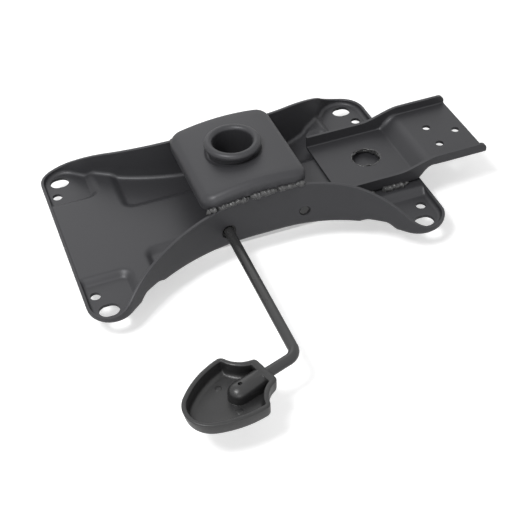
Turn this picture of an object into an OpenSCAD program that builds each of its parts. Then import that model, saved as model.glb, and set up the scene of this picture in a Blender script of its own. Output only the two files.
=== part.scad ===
// Office chair seat plate with its height lever, seen as it lies before it is fitted:
// the seat-mounting face is down (Z = 0) and the gas-lift mouth points up.
// -X is the front of the seat, +X its back, and the lever leaves the -Y side.
// Millimetres. The origin is on the gas-lift axis, in the seat-mounting face.

/* [Seat pan] */
// Sheet thickness of the pressed pan
pan_t = 2.2; // [1.8:0.1:2.6]
// Gas-lift axis to the pan's front end
front_reach = 128.5; // [127:0.5:134]
// Gas-lift axis to the pan's back end
back_reach = 131; // [129:0.5:136]
// Gas-lift axis to the outside of the ears
ear_half = 86; // [84:0.5:90]
// Gas-lift axis to the outside of the wall at the waist
waist_half = 43.2; // [41:0.2:46]
// Radius of the wall's curve between waist and front ears
front_waist_r = 150; // [140:1:165]
// Radius of the wall's curve between waist and back ears
back_waist_r = 100; // [94:1:108]
// Where the straight stretch of the waist starts, from the gas-lift axis
waist_front_x = 0; // [-6:1:4]
// Where the straight stretch of the waist ends
waist_back_x = 20; // [14:1:24]
// Outside radius of the bend between floor and wall
pan_bend_r = 5; // [4:0.2:6]
// Height of the lip along the pan's ends
lip_h = 6.2; // [5:0.2:8]
// Height of the wall at its highest point
wall_h = 39.4; // [34:0.2:44]
// Where the wall is highest
wall_peak_x = 20; // [10:1:26]
// Radius of the wall's top edge in front of the peak
front_crown_r = 330; // [300:5:380]
// Radius of the wall's top edge behind the peak
back_crown_r = 240; // [220:5:280]
// Peak to the front shoulder of the top edge
front_shoulder_run = 98; // [90:1:102]
// Peak to the back shoulder of the top edge
back_shoulder_run = 38; // [32:1:44]
// Radius of both shoulders of the top edge
shoulder_r = 70; // [60:1:78]
// Radius where the top edge runs into the front lip
front_toe_r = 40; // [32:1:48]
// Radius where the top edge runs into the back lip
back_toe_r = 30; // [24:1:36]

/* [Pressed floor] */
// Rise of the raised floor above the corner pads
plateau_rise = 4; // [3:0.2:5]
// Rise of the side pockets above the corner pads
pocket_rise = 1.5; // [0.8:0.1:2.5]
// Width of the slopes in the floor
slope_w = 6; // [4:0.2:8]
// Width of the slopes of the hollow beside the bracket
hollow_slope_w = 4; // [3:0.2:6]
// Corner radius of pads and pockets
floor_corner_r = 4; // [2:0.5:6]
// Gas-lift axis to the inner end of the pads
pad_x = 95.5; // [93:0.5:98]
// Middle of the pan to the inner side of the pads
pad_y = 46.6; // [44:0.2:49]
// Gas-lift axis to the end of the pockets
pocket_x = 74; // [70:0.5:78]
// Middle of the pan to the pocket on the lever side
lever_pocket_y = 32.5; // [30:0.5:35]
// Middle of the pan to the pocket on the far side
far_pocket_y = 23.5; // [21:0.5:26]
// Back end of the hollow beside the bracket
side_hollow_x = 89; // [84:0.5:91]
// Outer side of the hollow beside the bracket
side_hollow_y = 50; // [46:0.5:52]

/* [Seat fixing holes] */
// Spacing of the slots along the seat
slot_dx = 228.8; // [226:0.2:231]
// Spacing of the slots across the seat
slot_dy = 145.5; // [143:0.5:148]
// End-to-end length of a slot
slot_l = 14; // [12:0.5:16]
// Width of a slot
slot_w = 11.5; // [9:0.5:12]
// Spacing of the round holes along the seat
round_dx = 239.4; // [238:0.2:241]
// Spacing of the round holes across the seat
round_dy = 113.2; // [111:0.2:115]
// Diameter of the round holes
round_d = 7.2; // [6:0.2:8]

/* [Saddle housing] */
// Sheet thickness of the housing
hood_t = 2.5; // [2:0.1:3]
// Gas-lift axis to the housing's front side
hood_front = 36; // [33:0.5:40]
// Gas-lift axis to the housing's back side
hood_back = 38.5; // [36:0.5:42]
// Height of the top of the housing's crown
hood_h = 50.2; // [48.5:0.1:52]
// Radius of the crown
hood_crown_r = 165; // [150:1:190]
// Where the crown is highest
hood_peak_x = 10; // [4:1:14]
// Outside radius of the bends along the lever side and the far side
hood_side_r = 5.5; // [4.5:0.1:7]
// Outside radius of the bends along the front and the back
hood_end_r = 5; // [4:0.1:6]
// Radius of the housing's upright corners
hood_corner_r = 5; // [4:0.1:6]
// Depth of the dished ring round the socket
hood_dish = 1; // [0.6:0.1:1.4]
// Width of the dished ring
hood_dish_w = 3.2; // [2.5:0.1:4]

/* [Gas-lift socket] */
// Bore radius at the mouth
bore_r = 14.03; // [13.7:0.01:14.4]
// Taper of the bore on each side, in degrees
bore_taper = 1.438; // [1:0.001:2]
// Wall thickness of the socket tube
socket_t = 3; // [2.4:0.1:3.4]
// Height of the middle of the rolled lip
mouth_h = 54.7; // [53.8:0.1:57]
// Space for the rod on each side, in the socket's cut-outs
notch_play = 2.8; // [2.5:0.1:3.2]

/* [Back bracket] */
// Sheet thickness of the bracket
bracket_t = 2.2; // [1.8:0.1:2.6]
// Where the bracket starts, from the gas-lift axis
bracket_x = 68.5; // [66:0.5:72]
// Where the bracket ends
bracket_end_x = 182.5; // [178:0.5:190]
// Outside width of the bracket
bracket_w = 68; // [64:0.5:71]
// Height of the bracket's low flange edge
low_flange_h = 17; // [15.5:0.1:19]
// Height of the bracket's high flange edge
high_flange_h = 24.2; // [23:0.1:27]
// Rise of the bracket's step
step_rise = 9.2; // [8:0.1:10.4]
// Where the step's ramp starts
step_x = 129.5; // [127.5:0.5:131.5]
// Length of the ramp along the seat
step_run = 10; // [9:0.2:12]
// Inside radius of the step's bends
step_bend_r = 2.5; // [1.5:0.1:3.5]
// Where the flange edge starts to rise
flange_rise_x = 112; // [108:0.5:116]
// Length over which the flange edge rises
flange_rise_run = 33; // [28:0.5:36]
// Radius of the flanges' back corners
flange_corner_r = 8; // [5:0.5:9]
// Diameter of the large punched hole
plug_d = 22; // [18:0.5:24]
// Place of the large hole along the seat
plug_x = 104; // [98:0.5:110]
// Place of the large hole across the seat
plug_y = 3; // [-3:0.5:6]
// Diameter of the backrest screw holes
screw_d = 6; // [5:0.1:7]
// Diameter of the circle that the screw holes lie on
screw_pcd = 24.8; // [22:0.2:28]
// Middle of the screw holes along the seat
screw_x = 161.7; // [158:0.1:164]
// Middle of the screw holes across the seat
screw_y = -3.2; // [-6:0.1:2]

/* [Lever] */
// Diameter of the lever rod
rod_d = 7; // [6:0.1:7.4]
// Height of the rod
rod_z = 15.5; // [15:0.1:16.2]
// Gas-lift axis to the rod's long leg
rod_x = 20.5; // [20.2:0.1:22]
// Gas-lift axis to the rod's short leg
tip_x = 35.6; // [33:0.1:37]
// Gas-lift axis to the corner beside the paddle
corner_y = 168; // [155:0.5:180]
// Angle that the paddle's leg leans away from the seat
paddle_lean = 18; // [12:1:26]
// Bend radius of the rod's middle line
rod_bend_r = 9; // [8.6:0.1:9.4]
// Free space round the rod where it rocks in the wall
rod_play = 0.6; // [0.5:0.05:0.8]
// How far the rod's tip stands out of the wall
tip_out = 0.4; // [0.1:0.1:1]
// Wall thickness of the nylon bush
bush_t = 1.3; // [1:0.1:1.6]
// Width of the bush's collar beyond its sleeve
bush_collar = 1.2; // [0.8:0.1:1.6]
// Thickness of the bush's collar
bush_collar_t = 1.2; // [0.8:0.1:1.6]

/* [Paddle] */
// Rod corner to the end of the paddle's neck
neck_x = 23.3; // [21:0.1:24.5]
// Half width of the flat end of the neck
neck_half = 8.5; // [7.5:0.5:9.5]
// Thickness of the neck's wall, which the rod goes through
neck_wall = 5; // [4:0.5:6]
// Radius of the neck's upright corners
neck_corner_r = 3; // [2.5:0.1:3.5]
// Radius of the curve from neck to shoulder
flare_r = 17; // [15:0.5:19]
// Rod corner to the middle of the shoulder's rounding
shoulder_x = 41.5; // [40.5:0.5:44]
// Radius of the paddle's shoulders
shoulder_corner_r = 4; // [3:0.2:5]
// Rod corner to the paddle's widest place
widest_x = 39; // [37:0.5:40]
// Half width of the paddle's rim on the outer side
outer_half = 24; // [23:0.5:26]
// Half width of the paddle's rim on the side towards the seat
inner_half = 25.5; // [23:0.5:27]
// Radius of the paddle's tip
paddle_tip_r = 17; // [15:0.5:19]
// Rod corner to the centre of the tip's curve
tip_curve_x = 65; // [62:0.5:68]
// Height of the paddle's rim
rim_h = 20.2; // [19.8:0.1:22]
// Height of the paddle's underside
paddle_base = 8.6; // [7.8:0.1:9]
// Wall and floor thickness of the paddle
paddle_t = 2.2; // [1.6:0.1:2.4]
// Size of the underside compared with the rim
paddle_draft = 0.925; // [0.9:0.005:0.97]
// Radius of the boss that holds the rod
boss_r = 6.8; // [6:0.1:7]
// Length of rod inside the boss, beyond the neck's wall
rod_grip = 14; // [12:0.5:20]
// Diameter of the vent hole on the boss
vent_d = 3; // [2:0.1:3.4]

/* [Welds] */
// Half width of the weld beads
bead_r = 1.8; // [1.4:0.1:2.2]
// Distance between the ripples of a bead
ripple = 2.6; // [2:0.1:3.5]
// Length of the short beads at the bracket's foot
short_bead = 7; // [5:0.5:9]
// Length of the long beads at the bracket's foot
long_bead = 21; // [16:0.5:24]
// Gap between a short and a long bead
bead_gap = 5.5; // [4:0.5:8]
// Bracket's front end to the beads on the lever side
lever_bead_x = 18; // [14:0.5:22]
// Bracket's front end to the beads on the far side
far_bead_x = 23; // [18:0.5:25]
// Width of the fillet between the socket and the housing's underside
top_fillet = 4; // [3:0.1:4.5]
// Leg of the fillet round the socket's foot
foot_fillet = 3.5; // [2.5:0.1:4]

/* [Hidden] */
$fn = 96;

steel = [0.2, 0.2, 0.2];
weld_steel = [0.28, 0.28, 0.28];
plastic = [0.11, 0.11, 0.11];
nylon = [0.06, 0.06, 0.06];
big = 400;
// Length of the straight pieces that a long arc and a short arc are drawn with
edge_step = 4;
paddle_step = 1.5;

// Heights of the pressed floor
plateau_top = pan_t + plateau_rise;
pocket_top = pan_t + pocket_rise;
// Inset at which the pressed floor starts, just inside the bend
floor_strip = 1.5;
floor_edge = pan_bend_r + floor_strip;
// The raised floor's rim ends inside the wall's metal and laps over the floor inside the bend
rim_lap = 0.7 * pan_t;
rim_base = pan_t - 0.3;
rim_overlap = 0.7;

// An ear is an arc that touches the pan's end, its side and the waist's curve
function ear_radius(reach, waist_r) =
  let (drop = waist_half + waist_r - ear_half, sum = reach + waist_r - drop)
  round(1000 * (sum - sqrt(sum * sum - (reach * reach + drop * drop - waist_r * waist_r)))) / 1000;
front_run = front_reach + waist_front_x;
back_run = back_reach - waist_back_x;
front_ear_r = ear_radius(front_run, front_waist_r);
back_ear_r = ear_radius(back_run, back_waist_r);
front_ear = [-front_reach + front_ear_r, ear_half - front_ear_r];
back_ear = [back_reach - back_ear_r, ear_half - back_ear_r];
front_waist = [waist_front_x, waist_half + front_waist_r];
back_waist = [waist_back_x, waist_half + back_waist_r];
function heading(from, to) = atan2(to[1] - from[1], to[0] - from[0]);
front_turn = heading(front_ear, front_waist);
back_turn = heading(back_ear, back_waist);
function along(from, angle, r) = from + r * [cos(angle), sin(angle)];

// Housing, socket and rod
hood_centre_z = hood_h - hood_crown_r;
function taper_r(z) = bore_r - (mouth_h - z) * tan(bore_taper);
socket_r = bore_r + socket_t;
socket_foot_r = taper_r(plateau_top) + socket_t;
rod_r = rod_d / 2;
rod_hole_r = rod_r + rod_play;
bush_r = rod_hole_r + bush_t;
wall_mid_y = waist_half - pan_t / 2;
notch_h = rod_z + rod_r + 7;

// The bracket's floor runs at two heights
bracket_low = plateau_top;
bracket_high = bracket_low + step_rise;

// One half of the pan's outline, drawn in by a margin
module half_outline(inset) {
  difference() {
    polygon([
      [-front_reach + inset, 0], [back_reach - inset, 0], [back_reach - inset, back_ear[1]], back_ear,
      back_waist, front_waist, front_ear, [-front_reach + inset, front_ear[1]]
    ]);
    intersection() {
      translate(front_waist) circle(front_waist_r + inset);
      translate([waist_front_x - big, 0]) square([big, big]);
    }
    intersection() {
      translate(back_waist) circle(back_waist_r + inset);
      translate([waist_back_x, 0]) square([big, big]);
    }
    translate([waist_front_x, waist_half - inset]) square([waist_back_x - waist_front_x, big]);
  }
  translate(front_ear) circle(front_ear_r - inset);
  translate(back_ear) circle(back_ear_r - inset);
}

module outline(inset) {
  half_outline(inset);
  mirror([0, 1]) half_outline(inset);
}

// Points along an arc, a short step apart
function arc(centre, r, from, to, step = edge_step) =
  let (n = ceil(r * abs(to - from) * PI / 180 / step))
  [for (i = [0:n]) centre + r * [cos(from + (to - from) * i / n), sin(from + (to - from) * i / n)]];

// One half of the wall's top edge, from the lip up to the peak: toe, shoulder and crown touch each other
function edge_half(crown_r, run, toe_r) =
  let (
    crown = [0, wall_h - crown_r],
    lean = asin(run / crown_r),
    shoulder = crown + (crown_r - shoulder_r) * [sin(lean), cos(lean)],
    fall = acos((lip_h + toe_r - shoulder[1]) / (shoulder_r + toe_r)),
    toe = shoulder + (shoulder_r + toe_r) * [sin(fall), cos(fall)]
  )
  concat(
    arc(toe, toe_r, -90, -90 - fall),
    arc(shoulder, shoulder_r, 90 - fall, 90 - lean),
    arc(crown, crown_r, 90 - lean, 90)
  );

// Everything below the wall's top edge, right across the pan
module under_top_edge() {
  front = edge_half(front_crown_r, front_shoulder_run, front_toe_r);
  back = edge_half(back_crown_r, back_shoulder_run, back_toe_r);
  last = len(front) - 1;
  translate([wall_peak_x, 0, 0]) rotate([90, 0, 0]) linear_extrude(big, center = true) polygon(concat(
    [[-big / 2, -1], [big / 2, -1], [big / 2, lip_h]],
    back,
    [for (i = [last:-1:0]) [-front[i][0], front[i][1]]],
    [[-big / 2, lip_h]]
  ));
}

// Section of the wall with its bend and a strip of floor: inset from the wall's outside, and height
module wall_section() {
  intersection() {
    translate([pan_bend_r, pan_bend_r]) difference() {
      circle(pan_bend_r);
      circle(pan_bend_r - pan_t);
    }
    square(pan_bend_r);
  }
  translate([0, pan_bend_r]) square([pan_t, wall_h - pan_bend_r]);
  translate([pan_bend_r, 0]) square([floor_edge - pan_bend_r, pan_t]);
}

// Wall that curves round an ear
module ear_wall(centre, r, end_x, waist) {
  intersection() {
    translate(centre) rotate_extrude() translate([r, 0]) mirror([1, 0]) wall_section();
    linear_extrude(wall_h) polygon([
      centre, [end_x, centre[1]], [end_x, centre[1] + 2 * r], [centre[0], centre[1] + 2 * r], waist
    ]);
  }
}

// Wall that curves in to the waist
module waist_wall(centre, r, ear, tangent_x) {
  intersection() {
    translate(centre) rotate_extrude() translate([r, 0]) wall_section();
    linear_extrude(wall_h) polygon([centre, ear, [ear[0], 0], [tangent_x, 0]]);
  }
}

module half_wall() {
  ear_wall(front_ear, front_ear_r, -front_reach - 1, front_waist);
  waist_wall(front_waist, front_waist_r, front_ear, waist_front_x);
  translate([waist_front_x, waist_half, 0]) rotate([90, 0, 90])
    linear_extrude(waist_back_x - waist_front_x) mirror([1, 0]) wall_section();
  waist_wall(back_waist, back_waist_r, back_ear, waist_back_x);
  ear_wall(back_ear, back_ear_r, back_reach + 1, back_waist);
}

module end_walls() {
  translate([-front_reach, front_ear[1], 0]) rotate([90, 0, 0])
    linear_extrude(2 * front_ear[1]) wall_section();
  translate([back_reach, back_ear[1], 0]) rotate([90, 0, 0])
    linear_extrude(2 * back_ear[1]) mirror([1, 0]) wall_section();
}

// A sunk field in the floor: its rectangle at a height, and sides that slope up and down from there
module sunk_field(x0, x1, y0, y1, level, rise, slope, depth = 0) {
  lean = slope / rise;
  low = -depth * lean;
  high = (rise + 1) * lean;
  r = floor_corner_r;
  h = depth + rise + 1;
  translate([x0 + r, 0, level - depth]) rotate([90, 0, 90]) linear_extrude(x1 - x0 - 2 * r)
    polygon([[y0 - low, 0], [y1 + low, 0], [y1 + high, h], [y0 - high, h]]);
  translate([0, y1 - r, level - depth]) rotate([90, 0, 0]) linear_extrude(y1 - y0 - 2 * r)
    polygon([[x0 - low, 0], [x1 + low, 0], [x1 + high, h], [x0 - high, h]]);
  for (x = [x0 + r, x1 - r], y = [y0 + r, y1 - r])
    translate([x, y, level - depth]) cylinder(h, r + low, r + high);
}

// The pressed floor's surface as the top of a solid that stands on z = 0, lowered by a given drop
module floor_form(inset, drop, pad_depth = 0) {
  pocket_depth = plateau_rise - pocket_rise;
  difference() {
    linear_extrude(plateau_top - drop) outline(inset);
    translate([0, 0, -drop]) {
      for (side = [0, 1]) mirror([0, side, 0]) {
        sunk_field(-2 * front_reach, -pad_x, pad_y, 2 * ear_half, pan_t, plateau_rise, slope_w, pad_depth);
        sunk_field(pad_x, 2 * back_reach, pad_y, 2 * ear_half, pan_t, plateau_rise, slope_w, pad_depth);
      }
      sunk_field(-pocket_x, pocket_x, far_pocket_y, 2 * ear_half, pocket_top, pocket_depth, slope_w);
      mirror([0, 1, 0])
        sunk_field(-pocket_x, pocket_x, lever_pocket_y, 2 * ear_half, pocket_top, pocket_depth, slope_w);
      sunk_field(pocket_x - 2 * slope_w, side_hollow_x, far_pocket_y + 2 * slope_w, side_hollow_y,
        pocket_top, pocket_depth, hollow_slope_w);
    }
  }
}

module floor_sheet() {
  difference() {
    floor_form(floor_edge, 0);
    floor_form(0, pan_t);
  }
}

// Where the floor is raised, it runs out into the bend and the wall
module floor_rim() {
  difference() {
    floor_form(rim_lap, 0, pan_t - rim_base);
    linear_extrude(plateau_top + 1) outline(floor_edge + rim_overlap);
    linear_extrude(rim_base) outline(0);
  }
}

module slot_cutter(l, w) {
  translate([0, 0, -1]) linear_extrude(plateau_top + 2) {
    square([l - w, w], center = true);
    for (s = [-1, 1]) translate([s * (l - w) / 2, 0]) circle(w / 2);
  }
}

module pan_holes() {
  for (sx = [-1, 1], sy = [-1, 1]) {
    translate([sx * slot_dx / 2, sy * slot_dy / 2, 0]) slot_cutter(slot_l, slot_w);
    translate([sx * round_dx / 2, sy * round_dy / 2, -1]) cylinder(plateau_top + 2, d = round_d);
  }
  translate([-rod_x, -wall_mid_y, rod_z]) rotate([90, 0, 0]) cylinder(4 * pan_t, r = bush_r, center = true);
  translate([tip_x, -wall_mid_y, rod_z]) rotate([90, 0, 0]) cylinder(6 * pan_t, r = rod_hole_r, center = true);
}

module seat_pan() {
  color(steel) difference() {
    union() {
      intersection() {
        union() {
          half_wall();
          mirror([0, 1, 0]) half_wall();
          end_walls();
        }
        under_top_edge();
      }
      floor_sheet();
      floor_rim();
    }
    pan_holes();
  }
}

// Height of the crown's concentric inner circle, on which the end bends are centred
function bend_z(x) = hood_centre_z + sqrt(pow(hood_crown_r - hood_end_r, 2) - pow(x - hood_peak_x, 2));

// Side view of the housing's outside, drawn in by a margin
module hood_side(inset) {
  centre = [hood_peak_x, hood_centre_z];
  front_x = -hood_front + hood_end_r;
  back_x = hood_back - hood_end_r;
  front_bend = [front_x, bend_z(front_x)];
  back_bend = [back_x, bend_z(back_x)];
  front_edge = -hood_front + inset;
  back_edge = hood_back - inset;
  polygon([
    [front_edge, 0], [back_edge, 0], [back_edge, back_bend[1]], back_bend, front_bend,
    [front_edge, front_bend[1]]
  ]);
  for (bend = [front_bend, back_bend]) translate(bend) circle(hood_end_r - inset);
  intersection() {
    translate(centre) circle(hood_crown_r - inset, $fn = 360);
    polygon([
      centre, along(centre, heading(centre, back_bend), big), along(centre, heading(centre, front_bend), big)
    ]);
  }
}

// The housing's crown is part of a wide wheel with rounded rims
module hood_form(inset) {
  half = waist_half - inset;
  r = hood_side_r - inset;
  intersection() {
    translate([hood_peak_x, 0, hood_centre_z]) rotate([90, 0, 0]) rotate_extrude($fn = 360) {
      translate([0, -half]) square([hood_crown_r - inset - r, 2 * half]);
      translate([0, -half + r]) square([hood_crown_r - inset, 2 * (half - r)]);
      for (s = [-1, 1]) translate([hood_crown_r - inset - r, s * (half - r)]) circle(r);
    }
    rotate([90, 0, 0]) linear_extrude(4 * waist_half, center = true) hood_side(inset);
    linear_extrude(hood_h + 1) hood_plan(inset);
  }
}

module hood_plan(inset) {
  r = hood_corner_r - inset;
  front = -hood_front + hood_corner_r;
  back = hood_back - hood_corner_r;
  side = waist_half - hood_corner_r;
  for (x = [front, back], y = [-side, side]) translate([x, y]) circle(r);
  translate([front, -side - r]) square([back - front, 2 * (side + r)]);
  translate([front - r, -side]) square([back - front + 2 * r, 2 * side]);
}

module saddle_housing() {
  top_here = hood_centre_z + sqrt(pow(hood_crown_r, 2) - pow(hood_peak_x, 2));
  color(steel) difference() {
    hood_form(0);
    hood_form(hood_t);
    under_top_edge();
    cylinder(hood_h + 5, r = socket_r);
    translate([0, 0, top_here - hood_dish]) cylinder(3 * hood_dish, socket_r + hood_dish_w / 3,
      socket_r + hood_dish_w * 7 / 3);
  }
}

// The socket: a tapered tube with a rolled lip, standing on the pan's raised floor
module taper_socket() {
  r = socket_t;
  color(steel) difference() {
    rotate_extrude() {
      polygon([
        [taper_r(plateau_top), plateau_top], [socket_foot_r, plateau_top],
        [socket_r, mouth_h], [bore_r, mouth_h]
      ]);
      translate([bore_r + r, mouth_h]) circle(r);
    }
    translate([-big / 2, -rod_r - notch_play, plateau_top - 1])
      cube([big, rod_d + 2 * notch_play, notch_h - plateau_top + 1]);
  }
}

// Line of the bracket's underside or top: two levels joined by a ramp, as an area up to a height
module above_bracket(gap, top) {
  rise = step_rise;
  tilt = atan2(rise, step_run);
  shift = gap * tan(tilt / 2);
  x0 = step_x - shift;
  x1 = step_x + step_run - shift;
  low = bracket_low + gap;
  high = bracket_high + gap;
  polygon([
    [bracket_x - 1, low], [x0, low], [x1, high], [bracket_end_x + 1, high],
    [bracket_end_x + 1, top], [bracket_x - 1, top]
  ]);
}

// Outline of a flange seen from the side; its upper edge rises in two equal arcs
module flange_side() {
  rise = high_flange_h - low_flange_h;
  turn = 2 * atan2(rise, flange_rise_run);
  r = flange_rise_run / 2 / sin(turn);
  rise_end = flange_rise_x + flange_rise_run;
  rise_mid = flange_rise_x + flange_rise_run / 2;
  corner = [bracket_end_x - flange_corner_r, high_flange_h - flange_corner_r];
  polygon([
    [bracket_x, bracket_low], [bracket_end_x, bracket_low], [bracket_end_x, corner[1]], corner,
    [corner[0], high_flange_h], [rise_end, high_flange_h], [rise_end, low_flange_h],
    [bracket_x, low_flange_h]
  ]);
  translate(corner) circle(flange_corner_r);
  difference() {
    translate([flange_rise_x, low_flange_h]) square([flange_rise_run / 2, rise / 2]);
    translate([flange_rise_x, low_flange_h + r]) circle(r, $fn = 180);
  }
  intersection() {
    translate([rise_end, high_flange_h - r]) circle(r, $fn = 180);
    translate([rise_mid, low_flange_h]) square([flange_rise_run / 2, rise]);
  }
}

module back_bracket() {
  half = bracket_w / 2;
  color(steel) difference() {
    rotate([90, 0, 0]) linear_extrude(bracket_w, center = true) intersection() {
      flange_side();
      above_bracket(0, big);
    }
    rotate([90, 0, 0]) linear_extrude(bracket_w - 2 * bracket_t, center = true)
      above_bracket(bracket_t, big);
    translate([plug_x, plug_y, bracket_low - 1]) cylinder(bracket_t + 2, d = plug_d);
    for (a = [0, 120, 240]) translate([screw_x, screw_y, 0]) rotate(a) translate([screw_pcd / 2, 0, 0])
      cylinder(big, d = screw_d);
  }
}

// Straight piece of rod from one point to another in the rod's plane
module rod_leg(from, to) {
  run = norm(to - from);
  translate([from[0], from[1], rod_z]) rotate([0, 90, heading(from, to)]) cylinder(run, r = rod_r);
}

// Bend of the rod about a centre in the rod's plane
module rod_bend(centre, start, end, r = rod_r) {
  translate([centre[0], centre[1], rod_z]) rotate(start) rotate_extrude(angle = end - start)
    translate([rod_bend_r, 0]) circle(r);
}

// The corner beside the paddle turns by less than a right angle
corner_turn = 90 - paddle_lean;
corner_cut = rod_bend_r * tan(corner_turn / 2);
paddle_dir = 180 + paddle_lean;
bend_lap = 0.2;
rod_fit = 0.02;

module lever_rod() {
  corner = [-rod_x, -corner_y];
  inner = -rod_bend_r;
  tip = -waist_half - tip_out;
  rod_end = along(corner, paddle_dir, neck_x + neck_wall + rod_grip);
  color(steel) {
    // the legs run a little way into the leaning corner, whose tube is a hair thicker
    rod_leg(rod_end, along(corner, paddle_dir, corner_cut - bend_lap));
    rod_bend([-rod_x - rod_bend_r, -corner_y + corner_cut], -corner_turn, 0, rod_r + rod_fit);
    rod_leg([-rod_x, -corner_y + corner_cut - bend_lap], [-rod_x, inner]);
    rod_bend([-rod_x + rod_bend_r, inner], 90, 180);
    rod_leg([-rod_x + rod_bend_r, 0], [tip_x - rod_bend_r, 0]);
    rod_bend([tip_x - rod_bend_r, inner], 0, 90);
    rod_leg([tip_x, inner], [tip_x, tip]);
  }
}

// Collar outside the wall, sleeve through it and a snap ring inside
module rod_bush() {
  color(nylon) translate([-rod_x, -waist_half, rod_z]) rotate([90, 0, 0]) difference() {
    union() {
      cylinder(bush_collar_t, r = bush_r + bush_collar);
      translate([0, 0, -pan_t - bush_collar_t]) cylinder(pan_t + bush_collar_t, r = bush_r);
      translate([0, 0, -pan_t - bush_collar_t]) cylinder(bush_collar_t, bush_r, bush_r + bush_collar / 3);
    }
    cylinder(big, r = rod_hole_r, center = true);
  }
}

// The curves of the paddle's rim, in the frame of its own leg; each touches the next
tip_centre = [tip_curve_x, 0];
function side_r(half) =
  (half * half + pow(tip_curve_x - widest_x, 2) - paddle_tip_r * paddle_tip_r) / (2 * (half - paddle_tip_r));

// Point at given distances from two others, to the left of the line between them
function reached(from, to, a, b) =
  let (run = norm(to - from), t = (a * a - b * b + run * run) / (2 * run), dir = (to - from) / run)
  from + t * dir + sqrt(a * a - t * t) * [-dir[1], dir[0]];

// Half of the rim's line from neck to tip, drawn in by a margin, with a neck wall of its own
function half_rim(half, inset, wall) =
  let (
    long_r = side_r(half),
    side_centre = [widest_x, half - long_r],
    shoulder_turn = acos((shoulder_x - widest_x) / (long_r - shoulder_corner_r)),
    shoulder_centre = along(side_centre, shoulder_turn, long_r - shoulder_corner_r),
    neck = [neck_x + max(0, wall - inset) + neck_corner_r, neck_half],
    flare = reached(neck, shoulder_centre, flare_r + neck_corner_r, flare_r + shoulder_corner_r),
    out = heading(neck, flare),
    over = heading(shoulder_centre, flare),
    last = heading(side_centre, tip_centre)
  )
  concat(
    arc(neck, neck_corner_r - inset, 180, out, paddle_step),
    arc(flare, flare_r + inset, out - 180, over - 180, paddle_step),
    arc(shoulder_centre, shoulder_corner_r - inset, over, shoulder_turn, paddle_step),
    arc(side_centre, long_r - inset, shoulder_turn, last, paddle_step),
    arc(tip_centre, paddle_tip_r - inset, last, 0, paddle_step)
  );

module paddle_frame() {
  translate([-rod_x, -corner_y, 0]) rotate([0, 0, paddle_dir]) children();
}

// The paddle's shape up to its rim, smaller towards the underside; the neck's end stays upright
module tapered(inset, wall, low, high) {
  inner = half_rim(inner_half, inset, wall);
  outer = half_rim(outer_half, inset, wall);
  translate([neck_x, 0, high]) mirror([0, 0, 1])
    linear_extrude(high - low, scale = 1 - (1 - paddle_draft) * (high - low) / (rim_h - paddle_base), slices = 1)
      translate([-neck_x, 0]) polygon(concat(
        [for (p = inner) [p[0], -p[1]]],
        [for (i = [len(outer) - 2:-1:0]) outer[i]]
      ));
}

module lever_paddle() {
  dome = neck_x + neck_wall + rod_grip + paddle_t;
  foot = paddle_base + paddle_t / 2;
  bore = rod_r + rod_fit;
  color(plastic) paddle_frame() difference() {
    union() {
      difference() {
        tapered(0, 0, paddle_base, rim_h);
        tapered(paddle_t, neck_wall, paddle_base + paddle_t, rim_h + rod_fit);
      }
      translate([neck_x + neck_wall / 2, 0, rod_z]) rotate([0, 90, 0])
        cylinder(dome - neck_x - neck_wall / 2, r = boss_r);
      translate([neck_x + neck_wall / 2, -boss_r, foot])
        cube([dome - neck_x - neck_wall / 2, 2 * boss_r, rod_z - foot]);
      intersection() {
        translate([dome, 0, rod_z]) sphere(boss_r);
        translate([dome, 0, foot]) cylinder(big, r = 2 * boss_r);
      }
      translate([dome, 0, foot]) cylinder(rod_z - foot, r = boss_r);
    }
    translate([0, 0, rod_z]) rotate([0, 90, 0]) cylinder(neck_x + neck_wall + rod_grip + rod_fit, r = bore);
    translate([dome - vent_d, 0, rod_z]) cylinder(big, d = vent_d);
  }
}

// A weld bead: one tube along a line, its radius swelling with each ripple
module bead(from, to, r) {
  run = norm(to - from);
  steps = max(6, ceil(run / ripple) * 3);
  sides = 8;
  end_swell = 0.35;
  ripple_swell = 0.14;
  drift_swell = 0.08;
  dir = (to - from) / run;
  across = [-dir[1], dir[0], 0] / norm([dir[0], dir[1]]);
  up = cross(dir, across);
  function swell(i) = (i == 0 || i == steps) ? end_swell
    : 1 + ripple_swell * cos(360 * i / 3) + drift_swell * sin(137 * i);
  points = [
    for (i = [0:steps], k = [0:sides - 1])
      let (c = from + dir * run * i / steps, a = 360 * k / sides, s = r * swell(i))
      c + s * (cos(a) * across + sin(a) * up)
  ];
  walls = [
    for (i = [0:steps - 1], k = [0:sides - 1], half = [0, 1])
      let (a = i * sides + k, b = i * sides + (k + 1) % sides)
      half == 0 ? [a, b, a + sides] : [b, b + sides, a + sides]
  ];
  caps = [
    for (k = [1:sides - 2], end = [0, 1])
      end == 0 ? [0, k + 1, k] : [steps * sides, steps * sides + k, steps * sides + k + 1]
  ];
  polyhedron(points, concat(walls, caps), convexity = 4);
}

// Height of the wall's top edge over the crown
function edge_z(x) =
  let (r = x < wall_peak_x ? front_crown_r : back_crown_r)
  wall_h - r + sqrt(r * r - pow(x - wall_peak_x, 2));

// Beads along the housing's edge: each has its two ends along the seat and its own size
module housing_weld(stretches) {
  proud = bead_r / 9;
  y = -waist_half - proud;
  for (s = stretches) bead([s[0], y, edge_z(s[0]) + proud], [s[1], y, edge_z(s[1]) + proud], bead_r * s[2]);
}

module housing_weld_lever_side() {
  color(weld_steel) housing_weld([
    [-hood_front + 1, -hood_front + 9, 1.1], [-hood_front + 10, -4, 0.95], [-3, 16, 1.15], [17, hood_back - 2, 0.9]
  ]);
}

module housing_weld_far_side() {
  color(weld_steel) mirror([0, 1, 0]) housing_weld([[-hood_front + 2, 0, 1], [2, hood_back - 2, 1]]);
}

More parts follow.
